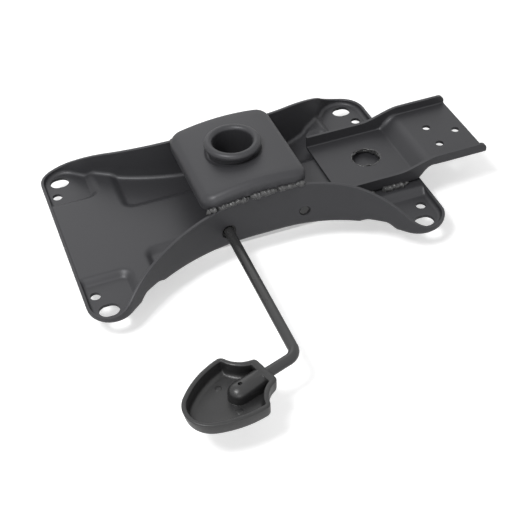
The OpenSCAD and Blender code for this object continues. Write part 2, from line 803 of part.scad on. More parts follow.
// Fillet round the socket under the housing, following the crown
module socket_top_weld() {
  sink = socket_t / 4;
  outer = socket_r + top_fillet;
  fall = hood_crown_r - sqrt(pow(hood_crown_r, 2) - pow(outer + hood_peak_x, 2));
  z = hood_h - hood_t - fall / 2;
  color(weld_steel) intersection() {
    rotate_extrude() polygon([
      [socket_r - sink, z - 1.5 * top_fillet], [outer, z], [outer, hood_h], [socket_r - sink, hood_h]
    ]);
    hood_form(hood_t - hood_t / 12);
  }
}

// Two fillet arcs round the socket's foot, clear of its cut-outs
module socket_foot_weld() {
  leg = foot_fillet;
  gap = asin((rod_r + notch_play) / socket_foot_r) + 4;
  color(weld_steel) for (side = [0, 180])
    rotate(side + gap) rotate_extrude(angle = 180 - 2 * gap) polygon([
      [socket_foot_r, plateau_top], [socket_foot_r + leg, plateau_top], [socket_foot_r, plateau_top + leg]
    ]);
}

// A short and a long bead in the corner between the bracket's flange and the floor
module bracket_weld(start) {
  y = -bracket_w / 2 - bead_r / 2;
  z = plateau_top + bead_r / 2;
  x = bracket_x + start;
  bead([x, y, z], [x + short_bead, y, z], bead_r);
  bead([x + short_bead + bead_gap, y, z], [x + short_bead + bead_gap + long_bead, y, z], bead_r);
}

module bracket_weld_lever_side() {
  color(weld_steel) bracket_weld(lever_bead_x);
}

module bracket_weld_far_side() {
  color(weld_steel) mirror([0, 1, 0]) bracket_weld(far_bead_x);
}

// Weld metal inside the large hole, which joins the bracket to the floor below it
module bracket_plug_weld() {
  r = plug_d / 2;
  color(weld_steel) translate([plug_x, plug_y, bracket_low]) rotate_extrude() polygon([
    [r, 0], [r, bracket_t], [r - bracket_t / 2, bracket_t], [r - 1.6 * bracket_t, 0]
  ]);
}

seat_pan();
saddle_housing();
taper_socket();
back_bracket();
lever_rod();
lever_paddle();
rod_bush();
housing_weld_lever_side();
housing_weld_far_side();
socket_top_weld();
socket_foot_weld();
bracket_weld_lever_side();
bracket_weld_far_side();
bracket_plug_weld();
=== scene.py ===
"""Office chair seat plate with a height lever: finishes and finer shapes over the packed model."""
import math

import bmesh
import bpy
from bpy.props import FloatProperty, FloatVectorProperty, PointerProperty
from bpy.types import Operator, Panel, PropertyGroup
from mathutils import Matrix, Vector, noise


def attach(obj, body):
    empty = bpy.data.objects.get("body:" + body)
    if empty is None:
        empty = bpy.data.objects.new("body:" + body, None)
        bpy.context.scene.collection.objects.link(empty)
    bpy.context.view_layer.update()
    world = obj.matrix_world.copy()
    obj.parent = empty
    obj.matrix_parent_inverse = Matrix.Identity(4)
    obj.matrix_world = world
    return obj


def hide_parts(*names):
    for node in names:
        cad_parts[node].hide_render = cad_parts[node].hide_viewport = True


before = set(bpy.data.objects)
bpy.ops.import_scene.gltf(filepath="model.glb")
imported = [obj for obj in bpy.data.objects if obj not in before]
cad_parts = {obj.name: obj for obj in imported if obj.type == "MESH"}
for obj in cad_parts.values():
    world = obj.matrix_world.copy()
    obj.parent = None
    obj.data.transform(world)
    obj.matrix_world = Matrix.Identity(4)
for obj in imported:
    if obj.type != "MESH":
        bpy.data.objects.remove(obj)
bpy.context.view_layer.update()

bl_info = {
    "name": "Office Chair Seat Plate",
    "version": (1, 0, 0),
    "blender": (4, 5, 0),
    "location": "View3D > Sidebar > Seat Plate",
    "description": "Builds the coated seat plate with its welds, bracket, rod and paddle",
    "category": "Object",
}

# Lengths below are in millimetres, apart from those of the settings, the materials and the stage
MM = 0.001
MERGE = 0.001
# Angles in degrees past which a piece's edges stay sharp
PAN_SHARP = 30
SHARP = 35
BEAD_SHARP = 60


# Sizes and finishes

class CoatFinish(PropertyGroup):
    """The satin powder coat on the pressed steel"""
    colour: FloatVectorProperty(
        name="Colour", description="Colour of the coat", subtype="COLOR", size=3, min=0, max=1,
        default=(0.041, 0.041, 0.0415))
    roughness: FloatProperty(
        name="Roughness", description="How dull the coat is", subtype="FACTOR", min=0.1, max=1,
        default=0.31)
    peel: FloatProperty(
        name="Peel Size", description="Distance between the waves of the coat's skin",
        unit="LENGTH", min=0.0003, max=0.01, default=0.0016)
    softness: FloatProperty(
        name="Edge Softness", description="Radius of the rounding on sheet edges",
        unit="LENGTH", min=0, max=0.004, default=0.0007)


class PlasticFinish(PropertyGroup):
    """The moulded plastic of the paddle"""
    colour: FloatVectorProperty(
        name="Colour", description="Colour of the plastic", subtype="COLOR", size=3, min=0, max=1,
        default=(0.023, 0.023, 0.0235))
    roughness: FloatProperty(
        name="Roughness", description="How dull the plastic is", subtype="FACTOR", min=0.1, max=1,
        default=0.33)
    grain: FloatProperty(
        name="Grain Size", description="Distance between the grains of the mould's texture",
        unit="LENGTH", min=0.0002, max=0.003, default=0.0007)


class WeldFinish(PropertyGroup):
    """The coated weld beads"""
    radius: FloatProperty(
        name="Bead Radius", description="Half width of a bead", unit="LENGTH", min=0.001, max=0.003,
        default=0.0019)
    pitch: FloatProperty(
        name="Ripple Pitch", description="Distance between two ripples", unit="LENGTH", min=0.0012,
        max=0.004, default=0.0026)
    roughness: FloatProperty(
        name="Roughness", description="How dull the coat on the weld is", subtype="FACTOR",
        min=0.1, max=1, default=0.3)


class HousingSizes(PropertyGroup):
    """The pressed lid over the middle of the pan"""
    corner: FloatProperty(
        name="Corner Radius", description="Radius of the lid's corners seen from above",
        unit="LENGTH", min=0.006, max=0.014, default=0.0095)
    edge: FloatProperty(
        name="Edge Radius", description="Outside radius between the top and the sides",
        unit="LENGTH", min=0.003, max=0.0058, default=0.0054)


class BracketSizes(PropertyGroup):
    """The bent channel that carries the backrest bar"""
    bend: FloatProperty(
        name="Bend Radius", description="Outside radius between floor and flange", unit="LENGTH",
        min=0.0024, max=0.006, default=0.003)
    step_foot: FloatProperty(
        name="Step Foot", description="Length of the tight bend at the foot of the step",
        unit="LENGTH", min=0.0015, max=0.009, default=0.0026)
    step_bend: FloatProperty(
        name="Step Bend", description="Length of the soft bend at the top of the step",
        unit="LENGTH", min=0.0015, max=0.009, default=0.0065)


class PaddleSizes(PropertyGroup):
    """The moulded paddle"""
    rim: FloatProperty(
        name="Rim Rounding", description="Radius of the rim's edges", unit="LENGTH", min=0.0004,
        max=0.0011, default=0.001)
    fillet: FloatProperty(
        name="Bowl Fillet", description="Radius between the bowl's wall and its floor",
        unit="LENGTH", min=0.001, max=0.004, default=0.0035)
    foot: FloatProperty(
        name="Foot Rounding", description="Radius round the underside", unit="LENGTH", min=0.001,
        max=0.004, default=0.0034)


class StageSetup(PropertyGroup):
    """Floor, lamps and camera"""
    floor_colour: FloatVectorProperty(
        name="Floor", description="Colour of the floor", subtype="COLOR", size=3, min=0, max=1,
        default=(0.86, 0.86, 0.86))
    key_power: FloatProperty(
        name="Key Power", description="Power of the lamp above the front left, in watts",
        min=0, max=200, default=7.6)
    fill_power: FloatProperty(
        name="Fill Power", description="Power of the broad, low lamp at the front, in watts",
        min=0, max=200, default=2.9)
    back_power: FloatProperty(
        name="Back Power", description="Power of the broad lamp behind the object, in watts",
        min=0, max=200, default=1.6)
    sky: FloatProperty(
        name="Sky", description="Strength of the light from all round", min=0, max=2, default=0.4)
    lift: FloatProperty(
        name="Lift", description="Height of the hidden block that keeps the plate above the floor",
        unit="LENGTH", min=0.014, max=0.05, default=0.015)
    glow: FloatProperty(
        name="Floor Glow", description="How much whiter the camera sees the floor",
        min=0, max=1, default=0.5)
    lens: FloatProperty(
        name="Lens", description="Focal length of the camera, in millimetres", min=20, max=200,
        default=77.65)


SETTINGS = {
    "coat_finish": CoatFinish, "plastic_finish": PlasticFinish, "weld_finish": WeldFinish,
    "housing_sizes": HousingSizes, "bracket_sizes": BracketSizes, "paddle_sizes": PaddleSizes,
    "stage_setup": StageSetup,
}


# Shader node groups that several materials use

def socket_kind(label):
    return "NodeSocketVector" if label in ("Vector", "Normal") else "NodeSocketFloat"


def start_group(name, inputs, outputs):
    """A shader node group, with the sockets that its nodes read and the ones that they fill."""
    tree = bpy.data.node_groups.new(name, "ShaderNodeTree")
    for label, value in inputs.items():
        socket = tree.interface.new_socket(name=label, in_out="INPUT",
                                           socket_type=socket_kind(label))
        if value is not None:
            socket.default_value = value
    for label in outputs:
        tree.interface.new_socket(name=label, in_out="OUTPUT", socket_type=socket_kind(label))
    given, result = tree.nodes.new("NodeGroupInput"), tree.nodes.new("NodeGroupOutput")
    return tree, given.outputs, result.inputs


def feed(tree, socket, value):
    """Links a socket to an input, or writes a plain value into it."""
    if isinstance(value, bpy.types.NodeSocket):
        tree.links.new(value, socket)
    else:
        socket.default_value = value


def add_node(tree, kind, inputs, **settings):
    """A shader node with its settings, and with values or links for its inputs."""
    node = tree.nodes.new(kind)
    for name, value in settings.items():
        setattr(node, name, value)
    for label, value in inputs.items():
        feed(tree, node.inputs[label], value)
    return node


def add_noise(tree, vector, detail, rough, scale):
    """A noise texture; its scale is a number or a socket."""
    inputs = {"Vector": vector, "Detail": detail, "Roughness": rough, "Scale": scale}
    return add_node(tree, "ShaderNodeTexNoise", inputs).outputs["Fac"]


def add_math(tree, operation, *values, clamp=False):
    """A math node on sockets or numbers."""
    inputs = dict(enumerate(values))
    return add_node(tree, "ShaderNodeMath", inputs, operation=operation, use_clamp=clamp).outputs[0]


def add_range(tree, value, low, high, out_low=0.0, out_high=1.0):
    """A smooth step of a value between two limits."""
    inputs = {"Value": value, "From Min": low, "From Max": high,
              "To Min": out_low, "To Max": out_high}
    step = add_node(tree, "ShaderNodeMapRange", inputs, interpolation_type="SMOOTHSTEP")
    return step.outputs["Result"]


def make_skin_group():
    """Waves, fine grain, patchiness and specks of a coat or a moulded skin."""
    tree, given, result = start_group(
        "Skin Texture",
        {"Vector": None, "Wave Scale": 600.0, "Grain Scale": 3000.0, "Grain Share": 0.3},
        ("Height", "Tone", "Speck"))
    vector = given["Vector"]
    wave = add_noise(tree, vector, 2.0, 0.5, given["Wave Scale"])
    grain = add_noise(tree, vector, 2.0, 0.6, given["Grain Scale"])
    mixed = add_node(tree, "ShaderNodeMix", {"Factor": given["Grain Share"], "A": wave, "B": grain})
    fleck = add_noise(tree, vector, 1.0, 0.5, 1500.0)
    feed(tree, result["Height"], mixed.outputs["Result"])
    feed(tree, result["Tone"], add_noise(tree, vector, 4.0, 0.6, 22.0))
    feed(tree, result["Speck"], add_range(tree, fleck, 0.71, 0.78))
    return tree


def make_edge_group():
    """Rounded-looking edges, a mask of edges that stand out and a mask of creases."""
    tree, given, result = start_group("Soft Edges", {"Radius": 0.0007},
                                      ("Normal", "Edge", "Crease"))
    bevel = add_node(tree, "ShaderNodeBevel", {"Radius": given["Radius"]}, samples=6)
    feed(tree, result["Normal"], bevel.outputs["Normal"])
    # The Crease mask, from ambient occlusion, marks where shade falls; make_skin paints shade there
    for label, inside, reach, low, high in (("Edge", True, 0.001, 0.12, 0.5),
                                            ("Crease", False, 0.003, 0.15, 0.6)):
        cover = add_node(tree, "ShaderNodeAmbientOcclusion", {"Distance": reach}, samples=6,
                         inside=inside, only_local=True)
        hidden = add_math(tree, "SUBTRACT", 1.0, cover.outputs["AO"], clamp=True)
        feed(tree, result[label], add_range(tree, hidden, low, high))
    return tree


def make_dust_group():
    """Fine dust that lies on faces that look up."""
    tree, given, result = start_group("Settled Dust", {"Vector": None, "Amount": 0.5}, ("Dust",))
    geometry = add_node(tree, "ShaderNodeNewGeometry", {})
    split = add_node(tree, "ShaderNodeSeparateXYZ", {"Vector": geometry.outputs["Normal"]})
    up = add_range(tree, split.outputs["Z"], 0.55, 0.98)
    patches = add_range(tree, add_noise(tree, given["Vector"], 5.0, 0.65, 45.0), 0.42, 0.75)
    lying = add_math(tree, "MULTIPLY", up, patches)
    feed(tree, result["Dust"], add_math(tree, "MULTIPLY", lying, given["Amount"]))
    return tree


GROUP_MAKERS = {"Skin Texture": make_skin_group, "Soft Edges": make_edge_group,
                "Settled Dust": make_dust_group}


def place_group(tree, name, **values):
    """Puts a shared node group in a material, built once, and returns its outputs."""
    group = bpy.data.node_groups.get(name) or GROUP_MAKERS[name]()
    node = add_node(tree, "ShaderNodeGroup", {}, node_tree=group)
    for label, value in values.items():
        feed(tree, node.inputs[label.replace("_", " ")], value)
    return node.outputs


def mix_colour(tree, factor, a, b):
    """A mix of two colours or sockets."""
    inputs = {"Factor": factor, "A": a, "B": b}
    return add_node(tree, "ShaderNodeMix", inputs, data_type="RGBA").outputs["Result"]


def shade(colour, share):
    """A colour made lighter or darker by a share, with full alpha."""
    return (*(channel * share for channel in colour[:3]), 1.0)


def make_skin(name, colour, roughness, wave_size, grain_size, grain_share, bump, edge_radius,
              edge_light=1.35, dust=0.4):
    """A coated or moulded surface: waves, grain, edges lighter with wear and a painted highlight,
    painted shade in creases, specks, dust.
    """
    found = bpy.data.materials.get(name)
    if found:
        return found
    material = bpy.data.materials.new(name)
    material.use_nodes = True
    tree = material.node_tree
    shader = tree.nodes["Principled BSDF"]
    coords = tree.nodes.new("ShaderNodeTexCoord").outputs["Object"]
    skin = place_group(tree, "Skin Texture", Vector=coords, Wave_Scale=0.6 / wave_size,
                       Grain_Scale=0.6 / grain_size, Grain_Share=grain_share)
    edges = place_group(tree, "Soft Edges", Radius=edge_radius)
    lying = place_group(tree, "Settled Dust", Vector=coords, Amount=dust)
    tone = mix_colour(tree, skin["Tone"], shade(colour, 0.86), shade(colour, 1.14))
    # Convex edges get a lighter colour: partly wear, partly a painted highlight like the one the
    # rounded rims catch
    worn_and_highlit = mix_colour(tree, edges["Edge"], tone, shade(colour, edge_light))
    # Painted shade: creases found by ambient occlusion are darkened, as if shade fell in them
    painted_crease_shade = mix_colour(tree, edges["Crease"], worn_and_highlit, shade(colour, 0.7))
    dusty = mix_colour(tree, lying["Dust"], painted_crease_shade, shade(colour, 1.9))
    specks = add_math(tree, "MULTIPLY", skin["Speck"], 0.25)
    specked = mix_colour(tree, specks, dusty, shade(colour, 2.2))
    patchy = add_range(tree, skin["Tone"], 0.3, 0.7, roughness - 0.04, roughness + 0.05)
    rough = add_math(tree, "ADD", patchy, add_math(tree, "MULTIPLY", edges["Edge"], -0.06))
    bumps = add_node(tree, "ShaderNodeBump", {"Strength": bump, "Distance": 0.0003,
                                              "Height": skin["Height"], "Normal": edges["Normal"]})
    dull = add_math(tree, "MULTIPLY_ADD", lying["Dust"], 0.2, rough)
    feed(tree, shader.inputs["Base Color"], specked)
    feed(tree, shader.inputs["Roughness"], dull)
    feed(tree, shader.inputs["Normal"], bumps.outputs["Normal"])
    return material


def coated_steel():
    """The satin coat of the pressed pieces."""
    coat = bpy.context.scene.coat_finish
    return make_skin("coated_steel", coat.colour, coat.roughness, coat.peel, 0.0003, 0.3, 0.22,
                     coat.softness)


def coated_rod_painted_shade():
    """The same coat on the rod, smoother and with longer waves; its colour is darkened as painted
    shade.
    """
    coat = bpy.context.scene.coat_finish
    # Painted shade: the rod's colour is the coat's colour darkened to 0.8
    return make_skin("coated_rod_painted_shade", shade(coat.colour, 0.8), coat.roughness - 0.03, coat.peel * 1.3,
                     0.0003, 0.3, 0.25, coat.softness, dust=0.25)


def coated_weld_painted_sheen():
    """The coat over weld metal, rougher than on the sheet, and lighter as a painted sheen."""
    scene = bpy.context.scene
    # Painted sheen: the sheet's coat made 1.35 times lighter; the stronger edge lightening of 1.6
    # is partly wear, partly painted highlight
    return make_skin("coated_weld_painted_sheen", shade(scene.coat_finish.colour, 1.35),
                     scene.weld_finish.roughness, 0.0009, 0.00025, 0.45, 0.8, 0.0003,
                     edge_light=1.6, dust=0.2)


def moulded_plastic():
    """The paddle's fine-grained plastic."""
    plastic = bpy.context.scene.plastic_finish
    return make_skin("moulded_plastic", plastic.colour, plastic.roughness, plastic.grain * 2,
                     plastic.grain, 0.7, 0.3, 0.0006, edge_light=1.2, dust=0.35)


def bush_nylon():
    """The bush's plain nylon."""
    return make_skin("bush_nylon", (0.03, 0.03, 0.03), 0.5, 0.001, 0.0004, 0.5, 0.2, 0.0003,
                     dust=0.1)


# Shared mesh helpers

def dress(node, material):
    """Gives a CAD node its finish."""
    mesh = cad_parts[node].data
    mesh.materials.clear()
    mesh.materials.append(material)


def to_mesh(name, bm):
    """A mesh from a bmesh, which is freed."""
    mesh = bpy.data.meshes.new(name)
    bm.to_mesh(mesh)
    bm.free()
    return mesh


def add_object(name, data):
    """An object with its data, in the scene."""
    thing = bpy.data.objects.new(name, data)
    bpy.context.scene.collection.objects.link(thing)
    return thing


def finish_piece(name, bm, material, body, node, sharp):
    """Makes a piece from a bmesh in millimetres; it rides on a body and stands for its CAD node."""
    bmesh.ops.scale(bm, vec=(MM, MM, MM), verts=bm.verts[:])
    mesh = to_mesh(name, bm)
    mesh.polygons.foreach_set("use_smooth", [True] * len(mesh.polygons))
    mesh.set_sharp_from_angle(angle=math.radians(sharp))
    mesh.materials.append(material)
    piece = add_object(name, mesh)
    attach(piece, body)
    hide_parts(node)


def combine(base, tools):
    """Joins or cuts closed bmeshes in turn with exact booleans; they are freed."""
    body = add_object("boolean_work", to_mesh("boolean_work", base))
    used = [body]
    for operation, bm in tools:
        modifier = body.modifiers.new("step", "BOOLEAN")
        modifier.operation = operation
        modifier.solver = "EXACT"
        modifier.object = add_object("boolean_work", to_mesh("boolean_work", bm))
        used.append(modifier.object)
    bpy.context.view_layer.update()
    result = bmesh.new()
    result.from_object(body, bpy.context.evaluated_depsgraph_get())
    for thing in used:
        mesh = thing.data
        bpy.data.objects.remove(thing)
        bpy.data.meshes.remove(mesh)
    return result


def append(bm, part):
    """Adds one bmesh to another and frees it."""
    mesh = to_mesh("append_work", part)
    bm.from_mesh(mesh)
    bpy.data.meshes.remove(mesh)


def fresh_verts(made):
    """The vertices among what an operator made."""
    return [g for g in made if isinstance(g, bmesh.types.BMVert)]


def face_outwards(bm):
    bmesh.ops.recalc_face_normals(bm, faces=bm.faces[:])


def close_shell(bm, distance=MERGE):
    """Merges doubled vertices, turns the faces outwards and makes sure that nothing is open."""
    bmesh.ops.remove_doubles(bm, verts=bm.verts[:], dist=distance)
    face_outwards(bm)
    if not all(e.is_manifold for e in bm.edges):
        raise RuntimeError("a shell isn't closed")


def turns(count, offset=0.0):
    """Angles spaced evenly round a full turn."""
    return [2 * math.pi * (i + offset) / count for i in range(count)]


def bend(steps):
    """A bend of radius 1 from flat to upright: how far up and how far in each step lies."""
    angles = [math.pi / 2 * i / steps for i in range(steps + 1)]
    return [(1 - math.cos(a), 1 - math.sin(a)) for a in angles]


def ease(t):
    """A smooth step from 0 to 1."""
    t = min(max(t, 0.0), 1.0)
    return t * t * (3 - 2 * t)


def pick(places, share):
    """The place that belongs to a share from -1 to 1, as in a fresh grid."""
    return places[round((share + 1) / 2 * (len(places) - 1))]


def add_ring(bm, points):
    """A closed loop of edges through points."""
    verts = [bm.verts.new(p) for p in points]
    return [bm.edges.new((verts[i - 1], verts[i])) for i in range(len(verts))]


def bridge_rings(bm, rings, closed=False):
    """Skins neighbouring rings, and either caps the first and last or joins them."""
    pairs = list(zip(rings, rings[1:]))
    if closed:
        pairs.append((rings[-1], rings[0]))
    for low, high in pairs:
        bmesh.ops.bridge_loops(bm, edges=low + high)
    if not closed:
        for ring in (rings[0], rings[-1]):
            bmesh.ops.contextual_create(bm, geom=ring)
    face_outwards(bm)


def rod_shape(radius, start, end, segments=32):
    """A closed cylinder between two points."""
    bm = bmesh.new()
    run = Vector(end) - Vector(start)
    turn = run.to_track_quat("Z", "Y").to_matrix().to_4x4()
    place = Matrix.Translation((Vector(start) + Vector(end)) / 2) @ turn
    bmesh.ops.create_cone(bm, cap_ends=True, segments=segments, radius1=radius, radius2=radius,
                          depth=run.length, matrix=place)
    return bm


# Paddle: its rim in the frame of its own leg, as in the part's source

CORNER = (-20.5, -168.0)
LEAN = 18.0
ROD_Z = 15.5
ROD_R = 3.5
NECK_X = 23.3
NECK_HALF = 8.5
NECK_WALL = 5.0
NECK_R = 3.0
FLARE_R = 17.0
SHOULDER_X = 41.5
SHOULDER_R = 4.0
WIDEST_X = 39.0
OUTER_HALF = 24.0
INNER_HALF = 25.5
TIP_R = 17.0
TIP_X = 65.0
RIM_H = 20.2
BASE_H = 9.0
BOWL_H = 10.1
SHELL = 2.2
RIM_W = 3.0
DRAFT = 0.96
BOSS_R = 6.8
BOSS_SPRING_H = 14.4
BOSS_TOP_H = 20.0
GRIP = 14.0
BORE_PLAY = 0.03
VENT = (42.6, -0.8)
VENT_R = 1.4
BOWL_X = 48.0
BOWL_REACH = 23.0
BOWL_SPREAD = 0.5
MARKS = ((50.0, -13.2), (50.9, 9.2))
MARK_R = 2.0
MARK_RISE = 0.16
PADDLE_MERGE = 0.002


def polar(centre, angle, radius):
    return Vector((centre[0] + radius * math.cos(angle), centre[1] + radius * math.sin(angle)))


def heading(start, end):
    return math.atan2(end[1] - start[1], end[0] - start[0])


def half_rim(half, inset, wall):
    """Arcs of one side of the rim, neck to tip: centre, radius, start and end angle."""
    long_r = (half * half + (TIP_X - WIDEST_X) ** 2 - TIP_R ** 2) / (2 * (half - TIP_R))
    side = Vector((WIDEST_X, half - long_r))
    tip = Vector((TIP_X, 0))
    turn = math.acos((SHOULDER_X - WIDEST_X) / (long_r - SHOULDER_R))
    shoulder = polar(side, turn, long_r - SHOULDER_R)
    neck = Vector((NECK_X + max(0, wall - inset) + NECK_R, NECK_HALF))
    a = FLARE_R + NECK_R
    b = FLARE_R + SHOULDER_R
    run = shoulder - neck
    t = (a * a - b * b + run.length_squared) / (2 * run.length)
    along = run.normalized()
    flare = neck + t * along + math.sqrt(a * a - t * t) * Vector((-along.y, along.x))
    out = heading(neck, flare)
    over = heading(shoulder, flare)
    last = heading(side, tip)
    return [(neck, NECK_R - inset, math.pi, out),
            (flare, FLARE_R + inset, out - math.pi, over - math.pi),
            (shoulder, SHOULDER_R - inset, over, turn),
            (side, long_r - inset, turn, last),
            (tip, TIP_R - inset, last, 0)]


ARC_STEPS = (4, 14, 6, 26, 14)


def rim_points(inset, wall):
    """The whole rim as points, made by spinning a vertex round each arc in turn."""
    outline = []
    for half, flip in ((OUTER_HALF, 1), (INNER_HALF, -1)):
        side = []
        for (centre, radius, start, end), steps in zip(half_rim(half, inset, wall), ARC_STEPS):
            bm = bmesh.new()
            first = bm.verts.new((*polar(centre, start, radius), 0))
            bmesh.ops.spin(bm, geom=[first], cent=(*centre, 0), axis=(0, 0, 1), angle=end - start,
                           steps=steps)
            side += [v.co.to_2d() for v in bm.verts][:-1]
            bm.free()
        side.append(polar((TIP_X, 0), 0, TIP_R - inset))
        side = [Vector((p.x, flip * p.y)) for p in side]
        outline += side if flip > 0 else side[-2::-1]
    return outline


def paddle_rings(sizes):
    """Rings from the middle of the underside, over the rim and down into the bowl."""
    outer = rim_points(0, 0)
    inner = rim_points(RIM_W, NECK_WALL)
    rim = sizes.rim / MM
    foot = sizes.foot / MM
    fillet = sizes.fillet / MM
    outer_wall = RIM_H - rim - BASE_H - foot
    inner_wall = RIM_H - rim - BOWL_H - fillet

    def drawn(points, z, margin=0.0):
        """Points of the rim at a height, narrower towards the base and drawn in by a margin."""
        share = 1 - (1 - DRAFT) * (RIM_H - z) / (RIM_H - BASE_H)
        keep = 1 - margin / BOWL_REACH
        ring = []
        for p in points:
            x = NECK_X + (p.x - NECK_X) * share
            ring.append((BOWL_X + (x - BOWL_X) * keep, p.y * share * keep, z))
        return ring

    def over(share, drop):
        """A ring on top of the rim, a share of the way from its outer line to its inner one."""
        return drawn([p.lerp(q, share) for p, q in zip(outer, inner)], RIM_H - drop)

    rings = [drawn(outer, BASE_H + foot * up, foot * near) for up, near in bend(6)]
    rings += [drawn(outer, BASE_H + foot + outer_wall * share) for share in (0.5, 1)]
    rings += [over(rim / RIM_W * up, rim * near) for up, near in bend(5)[1:]]
    rings += [over(1 - rim / RIM_W * near, rim * up) for up, near in bend(5)[:-1]]
    rings += [drawn(inner, RIM_H - rim - inner_wall * share, -BOWL_SPREAD * share)
              for share in (0, 0.5, 1)]
    return rings + [drawn(inner, BOWL_H + fillet * near, fillet * up - BOWL_SPREAD)
                    for up, near in bend(5)[1:]]


def boss_shape():
    """The boss round the rod: an arch with a domed end, standing on the bowl's floor."""
    bm = bmesh.new()
    foot = (BASE_H + BOWL_H) / 2
    dome = NECK_X + NECK_WALL + GRIP + SHELL
    start = NECK_X + NECK_WALL / 2
    low = bm.verts.new((dome, BOSS_R, foot))
    high = bm.verts.new((dome, BOSS_R, BOSS_SPRING_H))
    bm.edges.new((low, high))
    bmesh.ops.spin(bm, geom=[high], cent=(dome, 0, BOSS_SPRING_H), axis=(1, 0, 0),
                   angle=math.pi / 2, steps=10)
    bmesh.ops.spin(bm, geom=bm.edges[:], cent=(dome, 0, 0), axis=(0, 0, 1), angle=-math.pi,
                   steps=24)
    bmesh.ops.remove_doubles(bm, verts=bm.verts[:], dist=MERGE)
    back = [e for e in bm.edges
            if e.is_boundary and all(abs(v.co.x - dome) < MERGE for v in e.verts)]
    moved = bmesh.ops.extrude_edge_only(bm, edges=back)["geom"]
    bmesh.ops.translate(bm, vec=(start - dome, 0, 0), verts=fresh_verts(moved))
    bmesh.ops.holes_fill(bm, edges=[e for e in bm.edges if e.is_boundary], sides=0)
    flat = (BOSS_TOP_H - BOSS_SPRING_H) / BOSS_R
    for v in bm.verts:
        if v.co.z > BOSS_SPRING_H:
            v.co.z = BOSS_SPRING_H + (v.co.z - BOSS_SPRING_H) * flat
    face_outwards(bm)
    return bm


def ejector_mark(x, y):
    """A faint raised disc that an ejector pin leaves on the bowl's floor."""
    bm = rod_shape(MARK_R, (x, y, BOWL_H - 0.6), (x, y, BOWL_H + MARK_RISE), 24)
    top = [e for e in bm.edges if all(v.co.z > BOWL_H for v in e.verts)]
    bmesh.ops.bevel(bm, geom=top, offset=0.75 * MARK_RISE, segments=2, profile=0.5, affect="EDGES",
                    material=-1)
    return bm


class SEATPLATE_OT_paddle(Operator):
    """Moulds the paddle with its rounded rim, bowl, boss and vent hole"""
    bl_idname = "seatplate.paddle"
    bl_label = "Paddle"

    def execute(self, context):
        shell = bmesh.new()
        rings = [add_ring(shell, ring) for ring in paddle_rings(context.scene.paddle_sizes)]
        bridge_rings(shell, rings)
        close_shell(shell, PADDLE_MERGE)
        bore = rod_shape(ROD_R + BORE_PLAY, (10, 0, ROD_Z), (NECK_X + NECK_WALL + GRIP, 0, ROD_Z))
        vent = rod_shape(VENT_R, (*VENT, ROD_Z + 2.2), (*VENT, ROD_Z + 20), 24)
        marks = [("UNION", ejector_mark(*spot)) for spot in MARKS]
        paddle = combine(shell, [("UNION", boss_shape()), *marks, ("DIFFERENCE", bore),
                                 ("DIFFERENCE", vent)])
        close_shell(paddle, PADDLE_MERGE)
        if not any(v.co.z > BOSS_TOP_H - 0.5 and abs(v.co.x - VENT[0]) < 3 for v in paddle.verts):
            raise RuntimeError("the boss didn't join the paddle")
        place = Matrix.Translation((*CORNER, 0)) @ Matrix.Rotation(math.radians(180 + LEAN), 4, "Z")
        bmesh.ops.transform(paddle, matrix=place, verts=paddle.verts[:])
        finish_piece("paddle", paddle, moulded_plastic(), "lever", "lever_paddle",
                     SHARP)
        return {"FINISHED"}


# Bracket: the bent channel behind the housing

BRACKET_START = 68.5
BRACKET_END = 182.5
BRACKET_HALF = 34.0
NEAR_FLARE = 1.2
BRACKET_T = 2.2
LOW_Z = 6.2
STEP_RISE = 9.2
STEP_X = 129.5
STEP_RUN = 10.0
STEP_FULLNESS = 3.6
STEP_REACH = 10.0
LOW_FLANGE = 17.0
HIGH_FLANGE = 24.2
FLANGE_RISE_X = 112.0
FLANGE_RISE_RUN = 33.0
FLANGE_CORNER = 4.6
PLUG = (104.0, 3.0)
PLUG_R = 11.0
SCREW = (161.7, -3.2)
SCREW_R = 3.0
SCREW_CIRCLE_R = 12.4


def step_height(x, foot_bend, top_bend):
    """Height of the bracket's underside: a ramp with a tight bend below it and a soft one above."""
    length = foot_bend if x < STEP_X + STEP_RUN / 2 else top_bend

    def area(u):
        """Area under the ramp's share, from its foot to u."""
        inside = min(max(u, 0.0), STEP_RUN)
        return inside * inside / 2 / STEP_RUN + max(0.0, u - STEP_RUN)

    u = x - STEP_X
    return LOW_Z + STEP_RISE * (area(u + length / 2) - area(u - length / 2)) / length


def flange_height(x):
    """Height of the flange's upper edge."""
    return LOW_FLANGE + (HIGH_FLANGE - LOW_FLANGE) * ease((x - FLANGE_RISE_X) / FLANGE_RISE_RUN)


def bracket_section(x, sizes):
    """Half of the channel at x: floor, bend and flange. The step makes the bend fuller."""
    fullness = ease(1 - abs(x - STEP_X - STEP_RUN / 2) / STEP_REACH)
    r = sizes.bend / MM + STEP_FULLNESS * fullness
    base = step_height(x, sizes.step_foot / MM, sizes.step_bend / MM)
    rise = flange_height(x) - base - r
    return ([((BRACKET_HALF - r) * i / 5, base) for i in range(5)]
            + [(BRACKET_HALF - r * near, base + r * up) for up, near in bend(7)]
            + [(BRACKET_HALF, base + r + rise * share) for share in (0.35, 0.7, 1.0)])


def bracket_stations():
    """Places along the bracket, closer together at the step and where the flange rises."""
    places = [BRACKET_START, 84.0, 98.0, FLANGE_RISE_X]
    places += [FLANGE_RISE_X + 1.5 * i for i in range(1, 11)]
    places += [STEP_X - 2.5 + 0.75 * i for i in range(1, 22)]
    places += [150.0, 160.0, 170.0, BRACKET_END]
    return sorted(set(round(p, 3) for p in places))


